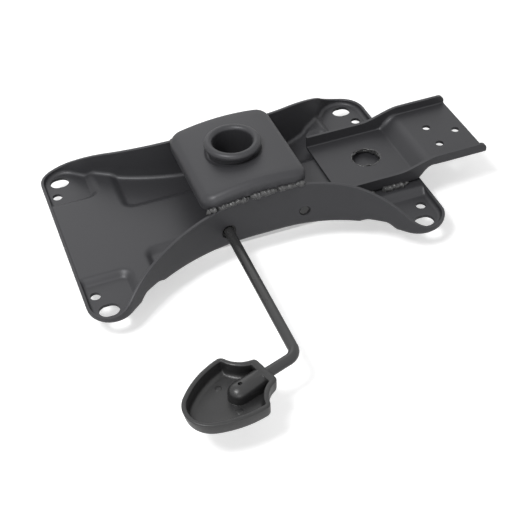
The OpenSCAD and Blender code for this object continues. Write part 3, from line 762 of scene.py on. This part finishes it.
def corner_cutter(side):
    """Rounds the back corner of a flange."""
    bm = bmesh.new()
    x = BRACKET_END - FLANGE_CORNER
    z = HIGH_FLANGE - FLANGE_CORNER
    first = bm.verts.new((BRACKET_END, 0, z))
    bmesh.ops.spin(bm, geom=[first], cent=(x, 0, z), axis=(0, 1, 0), angle=-math.pi / 2, steps=12)
    arc = sorted(bm.verts, key=lambda v: v.co.z)
    beyond = (x, 0, HIGH_FLANGE + 3), (BRACKET_END + 3, 0, HIGH_FLANGE + 3), (BRACKET_END + 3, 0, z)
    outside = [bm.verts.new(p) for p in beyond]
    face = bm.faces.new(arc + outside)
    moved = bmesh.ops.extrude_face_region(bm, geom=[face])["geom"]
    bmesh.ops.translate(bm, vec=(0, 8, 0), verts=fresh_verts(moved))
    bmesh.ops.translate(bm, vec=(0, side * (BRACKET_HALF - 1) - 4, 0), verts=bm.verts[:])
    face_outwards(bm)
    return bm


class SEATPLATE_OT_bracket(Operator):
    """Bends the back bracket from sheet, with its step, flanges and holes"""
    bl_idname = "seatplate.bracket"
    bl_label = "Back Bracket"

    def execute(self, context):
        sizes = context.scene.bracket_sizes
        stations = bracket_stations()
        columns = len(bracket_section(STEP_X, sizes)) - 1
        bm = bmesh.new()
        bmesh.ops.create_grid(bm, x_segments=len(stations) - 1, y_segments=2 * columns, size=1)
        for v in bm.verts:
            x = pick(stations, v.co.x)
            row = round(v.co.y * columns)
            y, z = bracket_section(x, sizes)[abs(row)]
            v.co = (x, y if row >= 0 else -y * (1 + NEAR_FLARE / BRACKET_HALF), z)
        face_outwards(bm)
        spot = Vector((90, 2, LOW_Z))
        middle = min(bm.faces, key=lambda f: (f.calc_center_median() - spot).length)
        if middle.normal.z > 0:
            bmesh.ops.reverse_faces(bm, faces=bm.faces[:])
        bmesh.ops.solidify(bm, geom=bm.faces[:], thickness=BRACKET_T)
        face_outwards(bm)
        tools = [rod_shape(PLUG_R, (*PLUG, 0), (*PLUG, 20), 64)]
        for turn in turns(3):
            hole = polar(SCREW, turn, SCREW_CIRCLE_R)
            tools.append(rod_shape(SCREW_R, (*hole, 0), (*hole, 40), 40))
        tools += [corner_cutter(side) for side in (-1, 1)]
        bracket = combine(bm, [("DIFFERENCE", tool) for tool in tools])
        finish_piece("bracket", bracket, coated_steel(), "frame", "back_bracket",
                     SHARP)
        return {"FINISHED"}


# Welds: runs along each side of the housing, and the two ragged rings in the bracket's large hole

BEAD_STEP = 0.35
BEAD_SIDES = 14
HOUSING_RUNS = {-1: ((-35, -27, 1.1), (-26.6, -4, 0.95), (-3.6, 16, 1.1), (16.4, 36.5, 0.9)),
                1: ((-34, 0, 1.0), (0.5, 36.5, 1.0))}
# Side, start of the first run and how much further out the flange stands there
BRACKET_BEADS = ((-1, BRACKET_START + 18.0, NEAR_FLARE), (1, BRACKET_START + 23.0, 0.0))
# Height, distance from the hole's centre, thickness and length of the tongues
PLUG_RINGS = ((LOW_Z + 1.9, PLUG_R - 0.15, 0.6, 1.5), (LOW_Z - 0.5, PLUG_R + 0.9, 1.5, 0.8))


def wobble(x, seed, size):
    """Smooth unevenness along a line."""
    return 1.6 * noise.noise(Vector((x * size, seed * 7.3, 1.7)))


def weld_bead(bm, path, length, radius, pitch, seed, across, up):
    """Skins one bead: rings that swell with each ripple, lean back like laid coins and wander."""
    count = max(10, int(length / BEAD_STEP))
    rings = []
    phase = 0.0
    for i in range(count + 1):
        share = i / count
        x = share * length
        phase += (length / count) / (pitch * (1 + 0.22 * wobble(x, seed + 3, 0.4)))
        swell = 0.92 + 0.16 * (phase % 1.0) ** 1.6 + 0.3 * wobble(x, seed, 0.4)
        ends = min(1.0, math.sqrt(max(0.02, min(share, 1 - share) * length / radius / 0.9)))
        sway = 0.2 * wobble(x, seed + 5, 0.35) * across + 0.3 * wobble(x, seed + 7, 0.6) * up
        along = (path(min(1, share + 0.01)) - path(max(0, share - 0.01))).normalized()
        points = []
        for k, a in enumerate(turns(BEAD_SIDES)):
            size = radius * swell * ends * (1 + 0.1 * wobble(x + 3 * k, seed + 9, 0.9))
            lag = 0.35 * pitch * (1 - math.cos(a)) / 2 * ends
            points.append(path(share) + radius * sway - along * lag
                          + size * (math.cos(a) * across + math.sin(a) * up))
        rings.append(add_ring(bm, points))
    bridge_rings(bm, rings)


def lay_beads(joint, side, runs, y, height, lean, seed):
    """Lays one weld's runs as one piece; a run is its start, its end and a share of the radius."""
    weld = bpy.context.scene.weld_finish
    across = Vector((0, side, lean)).normalized()
    up = Vector((0, -lean * side, 1)).normalized()
    bm = bmesh.new()
    for number, (start, end, share) in enumerate(runs):
        def path(t, start=start, end=end):
            x = start + (end - start) * t
            return Vector((x, side * y, height(x)))
        weld_bead(bm, path, end - start, weld.radius / MM * share, weld.pitch / MM, seed + number,
                  across, up)
    node = joint + ("_weld_far_side" if side > 0 else "_weld_lever_side")
    finish_piece(node + "_bead", bm, coated_weld_painted_sheen(), "frame", node, BEAD_SHARP)


class SEATPLATE_OT_housing_welds(Operator):
    """Lays the beads along the housing's two long edges"""
    bl_idname = "seatplate.housing_welds"
    bl_label = "Housing Welds"

    def execute(self, context):
        for side, runs in HOUSING_RUNS.items():
            lay_beads("housing", side, runs, WAIST_HALF + 0.45, lambda x: wall_top(x) + 0.55, 0.0,
                      11 + 5 * side)
        return {"FINISHED"}


class SEATPLATE_OT_bracket_welds(Operator):
    """Lays the beads at the foot of the bracket's flanges"""
    bl_idname = "seatplate.bracket_welds"
    bl_label = "Bracket Welds"

    def execute(self, context):
        for side, start, flare in BRACKET_BEADS:
            runs = ((start, start + 7.0, 1.1), (start + 12.5, start + 33.5, 1.1))
            lay_beads("bracket", side, runs, BRACKET_HALF + flare + 0.6, lambda x: LOW_Z + 0.9, 0.5,
                      31 + 7 * side)
        return {"FINISHED"}


class SEATPLATE_OT_plug_weld(Operator):
    """Runs ragged weld metal round the inside of the bracket's large hole"""
    bl_idname = "seatplate.plug_weld"
    bl_label = "Plug Weld"

    def execute(self, context):
        bm = bmesh.new()
        for height, reach, thick, tongue in PLUG_RINGS:
            rings = []
            for turn in turns(120):
                out = Vector((math.cos(turn), math.sin(turn), 0))
                uneven, fine = (noise.noise(Vector((size * out.x, size * out.y, height)))
                                for size in (1.9, 8))
                tube = thick * (1 + 0.7 * uneven + 0.5 * fine)
                middle = (Vector((*PLUG, height + 0.3 * fine))
                          + out * (reach - tongue * max(0.0, 2 * uneven)))
                rings.append(add_ring(bm, [
                    middle + tube * (1 + 0.12 * math.sin(3 * a + 5 * turn))
                    * (math.cos(a) * out + math.sin(a) * Vector((0, 0, 1))) for a in turns(12)]))
            bridge_rings(bm, rings, closed=True)
        finish_piece("bracket_plug_bead", bm, coated_weld_painted_sheen(), "frame", "bracket_plug_weld",
                     BEAD_SHARP)
        return {"FINISHED"}


class SEATPLATE_OT_inner_welds(Operator):
    """Gives the two fillets round the socket their finish"""
    bl_idname = "seatplate.inner_welds"
    bl_label = "Socket Welds"

    def execute(self, context):
        for node in ("socket_top_weld", "socket_foot_weld"):
            dress(node, coated_weld_painted_sheen())
        return {"FINISHED"}


# Pan: the outline of the part, with a pressed floor that runs softly from level to level

WAIST_HALF = 43.2
EDGE_TOP = 39.4
EDGE_PEAK = 20.0
FRONT_CROWN = 330.0
BACK_CROWN = 240.0
PAN_T = 2.2
FRONT_REACH = 128.5
BACK_REACH = 131.0
EAR_HALF = 86.0
FRONT_WAIST_R = 150.0
BACK_WAIST_R = 100.0
WAIST_FRONT_X = 0.0
WAIST_BACK_X = 20.0
PAN_BEND = 5.0
LIP_TOP = 6.2
FRONT_SHOULDER = 98.0
BACK_SHOULDER = 38.0
SHOULDER_EDGE_R = 70.0
FRONT_TOE_R = 40.0
BACK_TOE_R = 30.0
PLATEAU_TOP = 6.2
POCKET_DEPTH = 2.5
PAD_DEPTH = 4.0
CRATER_DEPTH = 2.8
SLOPE = 6.0
HOLLOW_SLOPE = 4.0
FIELD_CORNER = 4.0
PAD_X = 95.5
PAD_Y = 46.6
POCKET_X = 74.0
LEVER_POCKET_Y = 32.5
FAR_POCKET_Y = 23.5
HOLLOW_X = 89.0
HOLLOW_Y = 50.0
SLOTS = (114.4, 72.75, 14.0, 5.75)
ROUND_HOLES = (119.7, 56.6, 3.6)
TIP_X_WALL = 35.6
ROD_HOLE_R = 4.1
BUSH_R = 5.4
BUSH_PLAY = 0.42
# From where to where the holes are cut: heights at the floor, depths at the wall
FLOOR_CUT = (-4, 12)
WALL_CUT = (-6, 8)
EDGE_ROUND = 0.45
CRATER_REACH = 4.5
CRATER_SLOPE = 2.0


class Ear:
    """One end of the pan's outline: the arc of its ears and the waist curve that it runs into."""

    def __init__(self, side, reach, waist_x, waist_r):
        run = reach - side * waist_x
        drop = WAIST_HALF + waist_r - EAR_HALF
        total = run + waist_r - drop
        self.side = side
        self.r = total - math.sqrt(total * total - (run * run + drop * drop - waist_r * waist_r))
        self.centre = Vector((side * (reach - self.r), EAR_HALF - self.r))
        self.waist = Vector((waist_x, WAIST_HALF + waist_r))
        self.waist_r = waist_r
        self.turn = (self.waist - self.centre).normalized()

    def limit(self, x, inset):
        """Half width of the outline at x, drawn in by an inset, and the direction outwards."""
        r = self.r - inset
        if self.side * (x - self.centre.x - r * self.turn.x) >= 0:
            across = x - self.centre.x
            up = math.sqrt(max(0.0, r * r - across * across))
            return self.centre.y + up, Vector((across, up)).normalized()
        r = self.waist_r + inset
        across = self.waist.x - x
        up = math.sqrt(r * r - across * across)
        return self.waist.y - up, Vector((across, up)).normalized()


FRONT_EAR = Ear(-1, FRONT_REACH, WAIST_FRONT_X, FRONT_WAIST_R)
BACK_EAR = Ear(1, BACK_REACH, WAIST_BACK_X, BACK_WAIST_R)


def ear_at(x):
    return FRONT_EAR if x < 0 else BACK_EAR


def pan_limit(x, inset):
    """Half width of the pan at x and the direction outwards there."""
    if WAIST_FRONT_X <= x <= WAIST_BACK_X:
        return WAIST_HALF - inset, Vector((0, 1))
    return ear_at(x).limit(x, inset)


def wall_top(x):
    """Height of the wall's top edge: crown, shoulder, toe and lip."""
    run = abs(x - EDGE_PEAK)
    crown_r, shoulder_run, toe_r = ((FRONT_CROWN, FRONT_SHOULDER, FRONT_TOE_R) if x < EDGE_PEAK
                                    else (BACK_CROWN, BACK_SHOULDER, BACK_TOE_R))
    crown_z = EDGE_TOP - crown_r
    if run <= shoulder_run:
        return crown_z + math.sqrt(crown_r * crown_r - run * run)
    lean = math.asin(shoulder_run / crown_r)
    away = Vector((math.sin(lean), math.cos(lean)))
    shoulder = Vector((0, crown_z)) + (crown_r - SHOULDER_EDGE_R) * away
    fall = math.acos((LIP_TOP + toe_r - shoulder.y) / (SHOULDER_EDGE_R + toe_r))
    if run <= shoulder.x + SHOULDER_EDGE_R * math.sin(fall):
        return shoulder.y + math.sqrt(SHOULDER_EDGE_R ** 2 - (run - shoulder.x) ** 2)
    toe_x = shoulder.x + (SHOULDER_EDGE_R + toe_r) * math.sin(fall)
    if run >= toe_x:
        return LIP_TOP
    return LIP_TOP + toe_r - math.sqrt(toe_r * toe_r - (run - toe_x) ** 2)


def sunk(x, y, x0, x1, y0, y1, slope):
    """How far a sunk field reaches a point: 1 inside it, 0 outside its slope."""
    qx = abs(x - (x0 + x1) / 2) - (x1 - x0) / 2 + FIELD_CORNER
    qy = abs(y - (y0 + y1) / 2) - (y1 - y0) / 2 + FIELD_CORNER
    away = math.hypot(max(qx, 0), max(qy, 0)) + min(max(qx, qy), 0) - FIELD_CORNER
    t = min(max(away / slope, 0.0), 1.0)
    return 1 - (0.55 * (1 - (1 - t) ** 2) + 0.45 * ease(t))


def floor_height(x, y):
    """Height of the pressed floor's upper face: pads, pockets, hollow, dish under the plug weld."""
    side = abs(y)
    pad = max(sunk(x, side, low, high, PAD_Y, 2 * EAR_HALF, SLOPE)
              for low, high in ((PAD_X, 2 * BACK_REACH), (-2 * FRONT_REACH, -PAD_X)))
    inner = FAR_POCKET_Y if y > 0 else LEVER_POCKET_Y
    pocket = sunk(x, side, -POCKET_X, POCKET_X, inner, 2 * EAR_HALF, SLOPE)
    hollow = sunk(x, y, POCKET_X - 2 * SLOPE, HOLLOW_X, FAR_POCKET_Y + 2 * SLOPE, HOLLOW_Y,
                  HOLLOW_SLOPE)
    from_plug = math.hypot(x - PLUG[0], y - PLUG[1])
    crater = min(max((PLUG_R + CRATER_REACH - from_plug) / CRATER_SLOPE, 0.0), 1.0)
    return PLATEAU_TOP - max(PAD_DEPTH * pad, POCKET_DEPTH * pocket, POCKET_DEPTH * hollow,
                             CRATER_DEPTH * crater)


def spaced(*marks):
    """Places from mark to mark, about a step apart, given as: mark, step, mark, step, mark."""
    places = [marks[0]]
    for step, stop in zip(marks[1::2], marks[2::2]):
        start = places[-1]
        count = max(1, round(abs(stop - start) / step))
        places += [start + (stop - start) * i / count for i in range(1, count + 1)]
    return places


def pan_columns():
    """Places along the pan: fine at the slopes and round the ears."""
    def ear_places(ear):
        r = ear.r - PAN_BEND
        return [ear.centre.x + ear.side * r * math.sin(math.radians(a)) for a in range(90, 0, -10)]

    middle = spaced(FRONT_EAR.centre.x, 1.7, -97.0, 1.2, -73.0, 3.2, 60.0, 1.2, 97.0, 1.7,
                    BACK_EAR.centre.x)
    return ear_places(FRONT_EAR) + middle + ear_places(BACK_EAR)[::-1]


def pan_rows():
    """Places across the pan: fine where the pockets slope."""
    half = spaced(0.0, 3.1, 15.5, 1.1, 55.0, 2.2, EAR_HALF - PAN_BEND)
    return [-y for y in half[:0:-1]] + half


def floor_grid(bm, under):
    """The floor inside the bend, as a grid whose rows stop at the pan's limit."""
    columns, rows = pan_columns(), pan_rows()
    grid = bmesh.ops.create_grid(bm, x_segments=len(columns) - 1, y_segments=len(rows) - 1, size=1)
    for v in grid["verts"]:
        x, y = pick(columns, v.co.x), pick(rows, v.co.y)
        limit = pan_limit(x, PAN_BEND)[0]
        if abs(y) > limit - 0.4:
            y = math.copysign(limit, y)
        z = floor_height(x, y)
        v.co = (x, y, wall_foot(x, y) if under and at_rim(x, y) else z - PAN_T if under else z)
    bmesh.ops.remove_doubles(bm, verts=grid["verts"], dist=0.0005)


def at_end(x):
    """Whether x lies where an end of the pan starts to bend up."""
    return min(x + FRONT_REACH - PAN_BEND, BACK_REACH - PAN_BEND - x) < 0.001


def on_straight_end(x, y):
    """Whether a point of the floor's edge lies on an end, between its two ears."""
    return at_end(x) and abs(y) <= ear_at(x).centre.y + 0.001


def at_rim(x, y):
    """Whether a point of the floor lies on its edge."""
    return at_end(x) or abs(y) > pan_limit(x, PAN_BEND)[0] - 0.001


def wall_foot(x, y):
    """Height of the wall's foot: level along the ends, and with the floor along the sides."""
    return 0.0 if on_straight_end(x, y) else floor_height(x, y) - PAN_T


def wall_profile(floor, top, foot):
    """Insets and heights from the floor's edge over the wall to its foot."""
    inner = PAN_BEND - PAN_T
    top = max(top, floor)
    rise = min(inner, top - floor)
    start = floor + rise
    low = foot + PAN_BEND
    high = top - EDGE_ROUND
    points = [(PAN_T + inner * near, floor + rise * up) for up, near in bend(4)[1:]]
    points += [(PAN_T, start + (high - start) * k) for k in (0.33, 0.67, 1.0)]
    points += [(PAN_T - 0.25, top - 0.12), (PAN_T / 2, top), (0.25, top - 0.12), (0.0, high)]
    points += [(0.0, low + (high - low) * k) for k in (0.67, 0.33)]
    return points + [(PAN_BEND * up, foot + PAN_BEND * near) for up, near in bend(6)]


def raise_wall(bm):
    """Runs the floor's edge up the wall, over its rim and down to its foot."""
    loop = [e for e in bm.edges if e.is_boundary]
    lines = {}
    for v in set(v for e in loop for v in e.verts):
        x, y = v.co.x, v.co.y
        if on_straight_end(x, y):
            out = Vector((ear_at(x).side, 0))
        else:
            out = pan_limit(x, PAN_BEND)[1]
            out = Vector((out.x, math.copysign(out.y, y)))
        profile = wall_profile(v.co.z, wall_top(x + PAN_BEND * out.x), wall_foot(x, y))
        lines[v] = (Vector((x, y)), out, profile)
    for step in range(len(profile)):
        made = bmesh.ops.extrude_edge_only(bm, edges=loop)["geom"]
        fresh = set(fresh_verts(made))
        moved = {}
        for v in fresh:
            old = next(e.other_vert(v) for e in v.link_edges if e.other_vert(v) not in fresh)
            base, out, line = moved[v] = lines[old]
            inset, z = line[step]
            v.co = (*(base + out * (PAN_BEND - inset)), z)
        lines = moved
        loop = [g for g in made if isinstance(g, bmesh.types.BMEdge) and fresh.issuperset(g.verts)]


def slot_shape(x, y, length, half, low, high):
    """A closed slot with round ends."""
    run = length / 2 - half
    bm = bmesh.new()
    rings = []
    for z in (low, high):
        rings.append(add_ring(bm, [(x + math.copysign(run, math.cos(a)) + half * math.cos(a),
                                    y + half * math.sin(a), z) for a in turns(48, 0.5)]))
    bridge_rings(bm, rings)
    return bm


class SEATPLATE_OT_pan(Operator):
    """Presses the pan: floor, bends, walls, rim, slots and holes"""
    bl_idname = "seatplate.pan"
    bl_label = "Seat Pan"

    def execute(self, context):
        bm = bmesh.new()
        floor_grid(bm, under=False)
        raise_wall(bm)
        floor_grid(bm, under=True)
        close_shell(bm)
        cutters = bmesh.new()
        for x_side in (-1, 1):
            for y_side in (-1, 1):
                x, y, length, half = SLOTS
                append(cutters, slot_shape(x_side * x, y_side * y, length, half, *FLOOR_CUT))
                x, y, r = ROUND_HOLES
                low, high = ((x_side * x, y_side * y, z) for z in FLOOR_CUT)
                append(cutters, rod_shape(r, low, high, 40))
        for x, r in ((CORNER[0], BUSH_R), (TIP_X_WALL, ROD_HOLE_R)):
            near, far = ((x, depth - WAIST_HALF, ROD_Z) for depth in WALL_CUT)
            append(cutters, rod_shape(r, near, far, 40))
        pan = combine(bm, [("DIFFERENCE", cutters)])
        finish_piece("pan", pan, coated_steel(), "frame", "seat_pan", PAN_SHARP)
        return {"FINISHED"}


# Housing: the pressed lid and the socket

LID_FRONT = -36.0
LID_BACK = 39.9
LID_HALF = 42.9
LID_T = 2.5
LID_TOP = 50.2
LID_CROWN_R = 165.0
LID_PEAK = 10.0
LID_OVER_WALL = 1.5
LID_ROUND = 0.4
LID_GAP = 0.15
SOCKET_R = 17.03
DISH = 1.0
DISH_W = 3.4
LID_CORNERS = ((1, 1), (-1, 1), (-1, -1), (1, -1))


def lid_height(x):
    """Height of the lid's crown."""
    return LID_TOP - LID_CROWN_R + math.sqrt(LID_CROWN_R ** 2 - (x - LID_PEAK) ** 2)


def lid_outline(corner, inset):
    """Points and outward directions round the lid, drawn in by an inset."""
    points = []
    middle = Vector(((LID_FRONT + LID_BACK) / 2, 0))
    half = Vector(((LID_BACK - LID_FRONT) / 2 - corner, LID_HALF - corner))
    centres = [middle + half * Vector(sides) for sides in LID_CORNERS]
    r = corner - inset
    for turn, centre in enumerate(centres):
        follow = centres[(turn + 1) % 4]
        for i in range(11):
            a = math.pi / 2 * (turn + i / 10)
            out = Vector((math.cos(a), math.sin(a)))
            points.append((polar(centre, a, r), out))
        points += [(centre.lerp(follow, i / 14) + r * out, out) for i in range(1, 14)]
    return points


def lid_rings(corner, edge):
    """Rings from the hole's edge over the top and the sides, then back inside."""
    bore = SOCKET_R + LID_GAP
    dish_end = SOCKET_R + DISH_W + 1.2
    inner_edge = edge - LID_T

    def crown(share, inset, drop, radius=dish_end):
        """A ring on the crown, a share of the way from a circle round the socket to the outline."""
        ring = []
        for p, _ in lid_outline(corner, inset):
            spot = (p.normalized() * radius).lerp(p, share)
            ring.append((*spot, lid_height(spot.x) - drop))
        return ring

    def skirt(inset, share):
        """A ring on the sides, a share of the way from the rounded edge down to the pan's wall."""
        ring = []
        for p, out in lid_outline(corner, inset):
            low = wall_top(p.x) + LID_OVER_WALL * out.y ** 4
            high = lid_height(p.x) - edge
            ring.append((*p, high + (low - high) * share))
        return ring

    dish = ((bore, DISH), (SOCKET_R + 0.4 * DISH_W, DISH), (SOCKET_R + 0.6 * DISH_W, 0.8 * DISH),
            (SOCKET_R + 0.85 * DISH_W, 0.2 * DISH), (SOCKET_R + DISH_W, 0.02), (dish_end, 0))
    rings = [crown(0, 0, drop, radius) for radius, drop in dish]
    rings += [crown(share, edge, 0) for share in (0.25, 0.5, 0.75)]
    rings += [crown(1, edge * near, edge * up) for up, near in bend(7)]
    rings += [skirt(inset, share) for inset, share in (
        (0, 0.5), (0, 0.93), (LID_ROUND, 1), (LID_T - LID_ROUND, 1), (LID_T, 0.93))]
    rings += [crown(1, LID_T + inner_edge * near, LID_T + inner_edge * up)
              for up, near in bend(4)[::-1]]
    rings += [crown(share, edge, LID_T) for share in (0.66, 0.33, 0)]
    return rings + [crown(0, 0, LID_T + 0.3, bore)]


class SEATPLATE_OT_housing(Operator):
    """Presses the saddle housing with its crowned top, round corners and dished ring"""
    bl_idname = "seatplate.housing"
    bl_label = "Saddle Housing"

    def execute(self, context):
        sizes = context.scene.housing_sizes
        bm = bmesh.new()
        rings = [add_ring(bm, ring) for ring in lid_rings(sizes.corner / MM, sizes.edge / MM)]
        bridge_rings(bm, rings, closed=True)
        finish_piece("housing", bm, coated_steel(), "frame", "saddle_housing",
                     SHARP)
        return {"FINISHED"}


class SEATPLATE_OT_socket(Operator):
    """Coats the gas-lift socket"""
    bl_idname = "seatplate.socket"
    bl_label = "Gas-lift Socket"

    def execute(self, context):
        dress("taper_socket", coated_steel())
        return {"FINISHED"}


class SEATPLATE_OT_rod(Operator):
    """Coats the lever rod and turns its nylon bush"""
    bl_idname = "seatplate.rod"
    bl_label = "Rod and Bush"

    def execute(self, context):
        dress("lever_rod", coated_rod_painted_shade())
        bm = bmesh.new()
        bore = ROD_R + BUSH_PLAY
        profile = [(bore, -0.2), (bore + 0.2, -0.4), (BUSH_R - 0.1, -0.4), (BUSH_R + 0.15, -0.2),
                   (BUSH_R + 0.15, 0), (BUSH_R - 0.03, 0), (BUSH_R - 0.03, PAN_T + 0.1),
                   (BUSH_R + 0.3, PAN_T + 0.3), (BUSH_R - 0.3, PAN_T + 1.2), (bore, PAN_T + 1.2)]
        ring = add_ring(bm, [(CORNER[0] + r, depth - WAIST_HALF, ROD_Z) for r, depth in profile])
        bmesh.ops.spin(bm, geom=ring + bm.verts[:], cent=(CORNER[0], 0, ROD_Z), axis=(0, 1, 0),
                       angle=2 * math.pi, steps=40, use_merge=True)
        close_shell(bm)
        finish_piece("bush", bm, bush_nylon(), "frame", "rod_bush", SHARP)
        return {"FINISHED"}


# Stage

CAMERA_PLACE = (-0.1834, -0.5934, 0.5087)
CAMERA_RIGHT = (0.9363, -0.3487, -0.0415)
CAMERA_UP = (0.2630, 0.6181, 0.7408)
CAMERA_BACK = (-0.2327, -0.7046, 0.6704)
LAMP_TARGET = (0, -0.03, 0)
FLOOR_GAP = 0.0004


def stage_material(name, colour, glow):
    """A pale matt surface that the camera sees lighter by its glow, with the shadow kept."""
    material = bpy.data.materials.new(name)
    material.use_nodes = True
    tree = material.node_tree
    path = add_node(tree, "ShaderNodeLightPath", {})
    glowing = add_math(tree, "MULTIPLY", path.outputs["Is Camera Ray"], glow)
    values = {"Base Color": (*colour, 1), "Roughness": 0.9, "Specular IOR Level": 0.1,
              "Emission Color": (1, 1, 1, 1), "Emission Strength": glowing}
    for label, value in values.items():
        feed(tree, tree.nodes["Principled BSDF"].inputs[label], value)
    return material


class SEATPLATE_OT_stage(Operator):
    """Sets the floor, the soft lamps, the pale surroundings and the camera"""
    bl_idname = "seatplate.stage"
    bl_label = "Stage"

    def execute(self, context):
        scene = context.scene
        setup = scene.stage_setup
        scene.view_settings.view_transform = "Standard"
        ground = -setup.lift - FLOOR_GAP
        self.add_block("floor", setup.glow, (12, 12, 0.02), (0, 0, ground - 0.01))
        self.add_block("block", 0.1, (0.218, 0.05, setup.lift), (0.001, 0, ground + setup.lift / 2))
        self.add_lamp("key_lamp", (-0.5, -0.3, 1.0), 0.3, setup.key_power)
        self.add_lamp("fill_lamp", (-0.25, -1.15, 0.32), 0.8, setup.fill_power)
        self.add_lamp("back_lamp", (0.1, 1.1, 0.8), 0.8, setup.back_power)
        self.light_world(setup.sky)
        self.add_camera(setup.lens)
        return {"FINISHED"}

    def add_block(self, name, glow, size, place):
        """A pale block that isn't part of the object."""
        bm = bmesh.new()
        form = Matrix.Translation(place) @ Matrix.Diagonal((*size, 1))
        bmesh.ops.create_cube(bm, size=1, matrix=form)
        block = add_object(name, to_mesh(name, bm))
        colour = bpy.context.scene.stage_setup.floor_colour
        block.data.materials.append(stage_material(name, colour, glow))

    def add_lamp(self, name, place, size, power):
        """A square lamp that points at the middle of the object."""
        data = bpy.data.lights.new(name, "AREA")
        data.shape = "SQUARE"
        data.size = size
        data.energy = power
        lamp = add_object(name, data)
        lamp.location = place
        aim = Vector(LAMP_TARGET) - Vector(place)
        lamp.rotation_euler = aim.to_track_quat("-Z", "Y").to_euler()

    def light_world(self, sky):
        """Soft light from all round; the camera, gloss and glass see plain white."""
        world = bpy.data.worlds.new("surroundings")
        world.use_nodes = True
        tree = world.node_tree
        tree.nodes.clear()
        soft = add_node(tree, "ShaderNodeBackground", {"Color": (1, 1, 1, 1), "Strength": sky})
        seen = add_node(tree, "ShaderNodeBackground", {"Color": (1, 1, 1, 1)})
        path = add_node(tree, "ShaderNodeLightPath", {}).outputs
        camera_or_gloss = add_math(tree, "MAXIMUM", path["Is Camera Ray"], path["Is Glossy Ray"])
        any_view = add_math(tree, "MAXIMUM", camera_or_gloss, path["Is Transmission Ray"])
        mixed = add_node(tree, "ShaderNodeMixShader", {
            0: any_view, 1: soft.outputs["Background"], 2: seen.outputs["Background"]})
        add_node(tree, "ShaderNodeOutputWorld", {"Surface": mixed.outputs["Shader"]})
        bpy.context.scene.world = world

    def add_camera(self, lens):
        """The camera at the photo's place, found by fitting it to the photo."""
        data = bpy.data.cameras.new("camera")
        data.lens = lens
        data.sensor_width = 36.0
        data.clip_start = 0.01
        camera = add_object("camera", data)
        turn = Matrix((CAMERA_RIGHT, CAMERA_UP, CAMERA_BACK)).transposed().to_4x4()
        camera.matrix_world = Matrix.Translation(CAMERA_PLACE) @ turn
        bpy.context.scene.camera = camera


# Panel and registration

OPERATORS = (
    SEATPLATE_OT_stage, SEATPLATE_OT_pan, SEATPLATE_OT_housing, SEATPLATE_OT_socket,
    SEATPLATE_OT_bracket, SEATPLATE_OT_housing_welds, SEATPLATE_OT_bracket_welds,
    SEATPLATE_OT_plug_weld, SEATPLATE_OT_inner_welds, SEATPLATE_OT_rod, SEATPLATE_OT_paddle,
)


class SEATPLATE_PT_panel(Panel):
    """Lists the seat plate's pieces and their settings"""
    bl_idname = "SEATPLATE_PT_panel"
    bl_label = "Seat Plate"
    bl_space_type = "VIEW_3D"
    bl_region_type = "UI"
    bl_category = "Seat Plate"

    def draw(self, context):
        for operator in OPERATORS:
            self.layout.operator(operator.bl_idname)
        for name, group in SETTINGS.items():
            box = self.layout.box()
            box.label(text=group.__doc__)
            for label in group.__annotations__:
                box.prop(getattr(context.scene, name), label)


CLASSES = (*SETTINGS.values(), *OPERATORS, SEATPLATE_PT_panel)


def register():
    for cls in CLASSES:
        bpy.utils.register_class(cls)
    for name, group in SETTINGS.items():
        setattr(bpy.types.Scene, name, PointerProperty(type=group))


def unregister():
    for name in SETTINGS:
        delattr(bpy.types.Scene, name)
    for cls in reversed(CLASSES):
        bpy.utils.unregister_class(cls)


def main():
    register()
    for operator in OPERATORS:
        group, name = operator.bl_idname.split(".")
        getattr(getattr(bpy.ops, group), name)()


if __name__ == "__main__":
    main()
